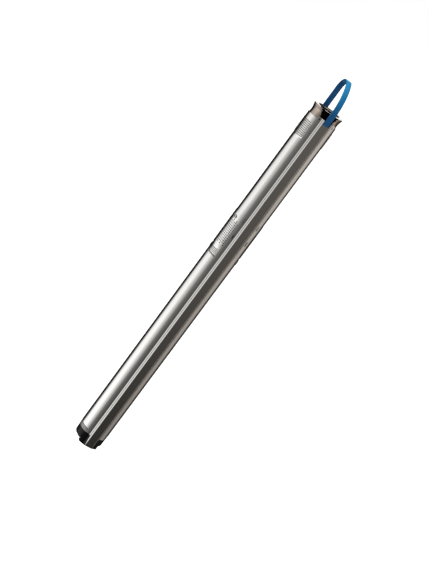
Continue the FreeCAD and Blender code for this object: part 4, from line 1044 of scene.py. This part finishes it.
# The walls' brightness at their foot and at their head, by the angle from the camera's plan
# direction to the right, as a reflection meets them. Only glossy rays see them.
wall_brightness = [
    (-180, 0.40, 0.40),
    (-166, 0.30, 0.30),
    (-152, 0.00, 0.00),
    (-130, 0.00, 0.00),
    (-120, 0.14, 0.10),
    (-111, 0.85, 0.60),
    (-102, 1.38, 1.03),
    (-72, 1.50, 1.20),
    (-62, 1.16, 0.82),
    (-50, 0.74, 0.58),
    (-38, 0.34, 0.36),
    (-22, 0.15, 0.22),
    (0, 0.06, 0.13),
    (45, 0.04, 0.18),
    (72, 0.07, 0.24),
    (82, 0.34, 0.76),
    (98, 0.36, 0.80),
    (112, 0.36, 0.76),
    (120, 0.06, 0.08),
    (150, 0.05, 0.06),
    (166, 0.30, 0.30),
]
# The lamp on the right is a warm one
warm_from = 20
warm_tint = np.array([1.0, 0.93, 0.87])
wall_distance = 1.3
wall_foot_level = -2.6
wall_head_level = 2.2
wall_sides = 96
wall_turns = np.linspace(0, 2 * math.pi, wall_sides, endpoint=False)
wall_levels = np.array([wall_foot_level, wall_head_level])
wall_points = around(wall_distance, wall_turns[None, :], wall_levels[:, None])
wall_mesh = bpy.data.meshes.new("studio walls")
wall_mesh.from_pydata(wall_points.reshape(-1, 3).tolist(), [], quads(2, wall_sides, False, True).tolist())
walls = bpy.data.objects.new("studio_walls", wall_mesh)
bpy.context.scene.collection.objects.link(walls)
wall_light = bpy.data.materials.new("Studio walls and soft lamps")
wall_light.use_nodes = True
tree = wall_light.node_tree
tree.nodes.clear()
place = add_node(tree, "ShaderNodeTexCoord")
turned = add_node(
    tree,
    "ShaderNodeMapping",
    {"Rotation": (0, 0, math.pi / 2 - camera_azimuth)},
    {"Vector": place.outputs["Object"]},
)
sweep = add_node(
    tree,
    "ShaderNodeTexGradient",
    None,
    {"Vector": turned.outputs["Vector"]},
    gradient_type="RADIAL",
)
brightest = max(max(foot, head) for degrees, foot, head in wall_brightness)


def wall_ramp(column):
    """A ramp of the walls' brightness about the pump, from one column of the list. An angle from
    -180 to 180 degrees lies at its share of the full turn."""
    ramp = add_node(tree, "ShaderNodeValToRGB", None, {"Fac": sweep.outputs["Fac"]})
    stops = ramp.color_ramp.elements
    shares = [(degrees + 180) / 360 for degrees, foot, head in wall_brightness]
    stops[0].position = shares[0]
    stops[1].position = shares[-1]
    for share in shares[1:-1]:
        stops.new(share)
    for stop, row in zip(stops, wall_brightness):
        tint = warm_tint if row[0] > warm_from else np.ones(3)
        stop.color = (*tint * row[column] / brightest, 1)
    return ramp.outputs["Color"]


# From the level foot_until up to head_from the brightness goes over from the foot's to the head's
foot_until = -1.45
head_from = -0.18
foot_column = 1
head_column = 2
apart = add_node(tree, "ShaderNodeSeparateXYZ", None, {"Vector": place.outputs["Object"]})
rise = add_node(
    tree,
    "ShaderNodeMapRange",
    {"From Min": foot_until, "From Max": head_from},
    {"Value": apart.outputs["Z"]},
)
# The two colour inputs of a Mix node are its sockets 6 and 7
blend = add_node(
    tree,
    "ShaderNodeMix",
    None,
    {"Factor": rise.outputs["Result"], 6: wall_ramp(foot_column), 7: wall_ramp(head_column)},
    data_type="RGBA",
)
# The soft lamps end above the pump's top, and the walls are dim from there up
lamp_end = 0.15
dim_from = 0.5
dim_share = 0.2
lamp_head = add_node(
    tree,
    "ShaderNodeMapRange",
    {"From Min": lamp_end, "From Max": dim_from, "To Min": brightest, "To Max": dim_share * brightest},
    {"Value": apart.outputs["Z"]},
)
glow = add_node(
    tree,
    "ShaderNodeEmission",
    None,
    {"Color": blend.outputs[2], "Strength": lamp_head.outputs["Result"]},
)
add_node(tree, "ShaderNodeOutputMaterial", None, {"Surface": glow.outputs["Emission"]})
wall_mesh.materials.append(wall_light)

# A soft lamp behind and above the pump, which the head's rim and the strap's bend show
back_lamp_mesh = bpy.data.meshes.new("back lamp")
back_half = 0.8
back_low = 0.06
back_high = 1.0
back_distance = 1.2
back_ends = ((-back_half, back_low), (back_half, back_low), (back_half, back_high), (-back_half, back_high))
back_lamp_mesh.from_pydata([(x, 0, z) for x, z in back_ends], [], [(0, 1, 2, 3)])
back_lamp = bpy.data.objects.new("back_lamp", back_lamp_mesh)
back_way = (-math.sin(camera_azimuth), math.cos(camera_azimuth), 0)
back_lamp.location = [back_distance * part for part in back_way]
back_lamp.rotation_euler.z = camera_azimuth
bpy.context.scene.collection.objects.link(back_lamp)
back_glow = bpy.data.materials.new("Soft lamp behind")
back_glow.use_nodes = True
tree = back_glow.node_tree
tree.nodes.clear()
glow = add_node(tree, "ShaderNodeEmission", {"Color": (1, 1, 1, 1), "Strength": 1.5})
add_node(tree, "ShaderNodeOutputMaterial", None, {"Surface": glow.outputs["Emission"]})
back_lamp_mesh.materials.append(back_glow)
for screen in (walls, back_lamp):
    screen.visible_camera = False
    screen.visible_diffuse = False
    screen.visible_transmission = False
    screen.visible_shadow = False

world = bpy.data.worlds.new("white room")
bpy.context.scene.world = world
world.use_nodes = True
tree = world.node_tree
tree.nodes.clear()
strength = add_node(
    tree,
    "ShaderNodeMapRange",
    {"To Min": 0.5, "To Max": 1.0},
    {"Value": seen_rays(tree)},
)
air = add_node(
    tree,
    "ShaderNodeBackground",
    {"Color": (1, 1, 1, 1)},
    {"Strength": strength.outputs["Result"]},
)
add_node(tree, "ShaderNodeOutputWorld", None, {"Surface": air.outputs["Background"]})

pump_middle = Vector((0, 0, -0.45))


def lamp(name, degrees, height, distance, size, power):
    """A square soft lamp at an angle to the right of the camera's plan direction, aimed at the pump."""
    light = bpy.data.lights.new(name, "AREA")
    light.shape = "RECTANGLE"
    light.size, light.size_y = size
    light.energy = power
    made = bpy.data.objects.new(name, light)
    bearing = camera_azimuth + math.radians(degrees)
    made.location = (distance * math.sin(bearing), -distance * math.cos(bearing), height)
    aim = pump_middle - made.location
    made.rotation_euler = aim.to_track_quat("-Z", "Y").to_euler()
    bpy.context.scene.collection.objects.link(made)
    made.visible_glossy = False


lamp("key", -80, 0.4, 1.6, (0.7, 1.6), 26)
lamp("fill", 70, 0.2, 2.0, (0.8, 1.6), 12)
lamp("top", 10, 1.6, 1.7, (1.2, 1.2), 16)

# The camera looks down at the pump from the left of its front, and is rolled so that the pump
# lies across the picture as in the photograph
back = Vector(
    (
        math.sin(camera_azimuth) * math.cos(camera_elevation),
        -math.cos(camera_azimuth) * math.cos(camera_elevation),
        math.sin(camera_elevation),
    )
)
level_right = Vector((math.cos(camera_azimuth), math.sin(camera_azimuth), 0))
level_up = back.cross(level_right)
right = math.cos(camera_roll) * level_right + math.sin(camera_roll) * level_up
up = math.cos(camera_roll) * level_up - math.sin(camera_roll) * level_right
lens = bpy.data.cameras.new("camera")
lens.sensor_width = 36
lens.lens = focal_pixels * lens.sensor_width / photo_height
lens.clip_start = 0.05
lens.clip_end = 100
camera = bpy.data.objects.new("camera", lens)
stand = camera_target + camera_distance * back
camera.matrix_world = Matrix(
    (
        (right.x, up.x, back.x, stand.x),
        (right.y, up.y, back.y, stand.y),
        (right.z, up.z, back.z, stand.z),
        (0, 0, 0, 1),
    )
)
bpy.context.scene.collection.objects.link(camera)
bpy.context.scene.camera = camera
bpy.context.scene.view_settings.view_transform = "Standard"
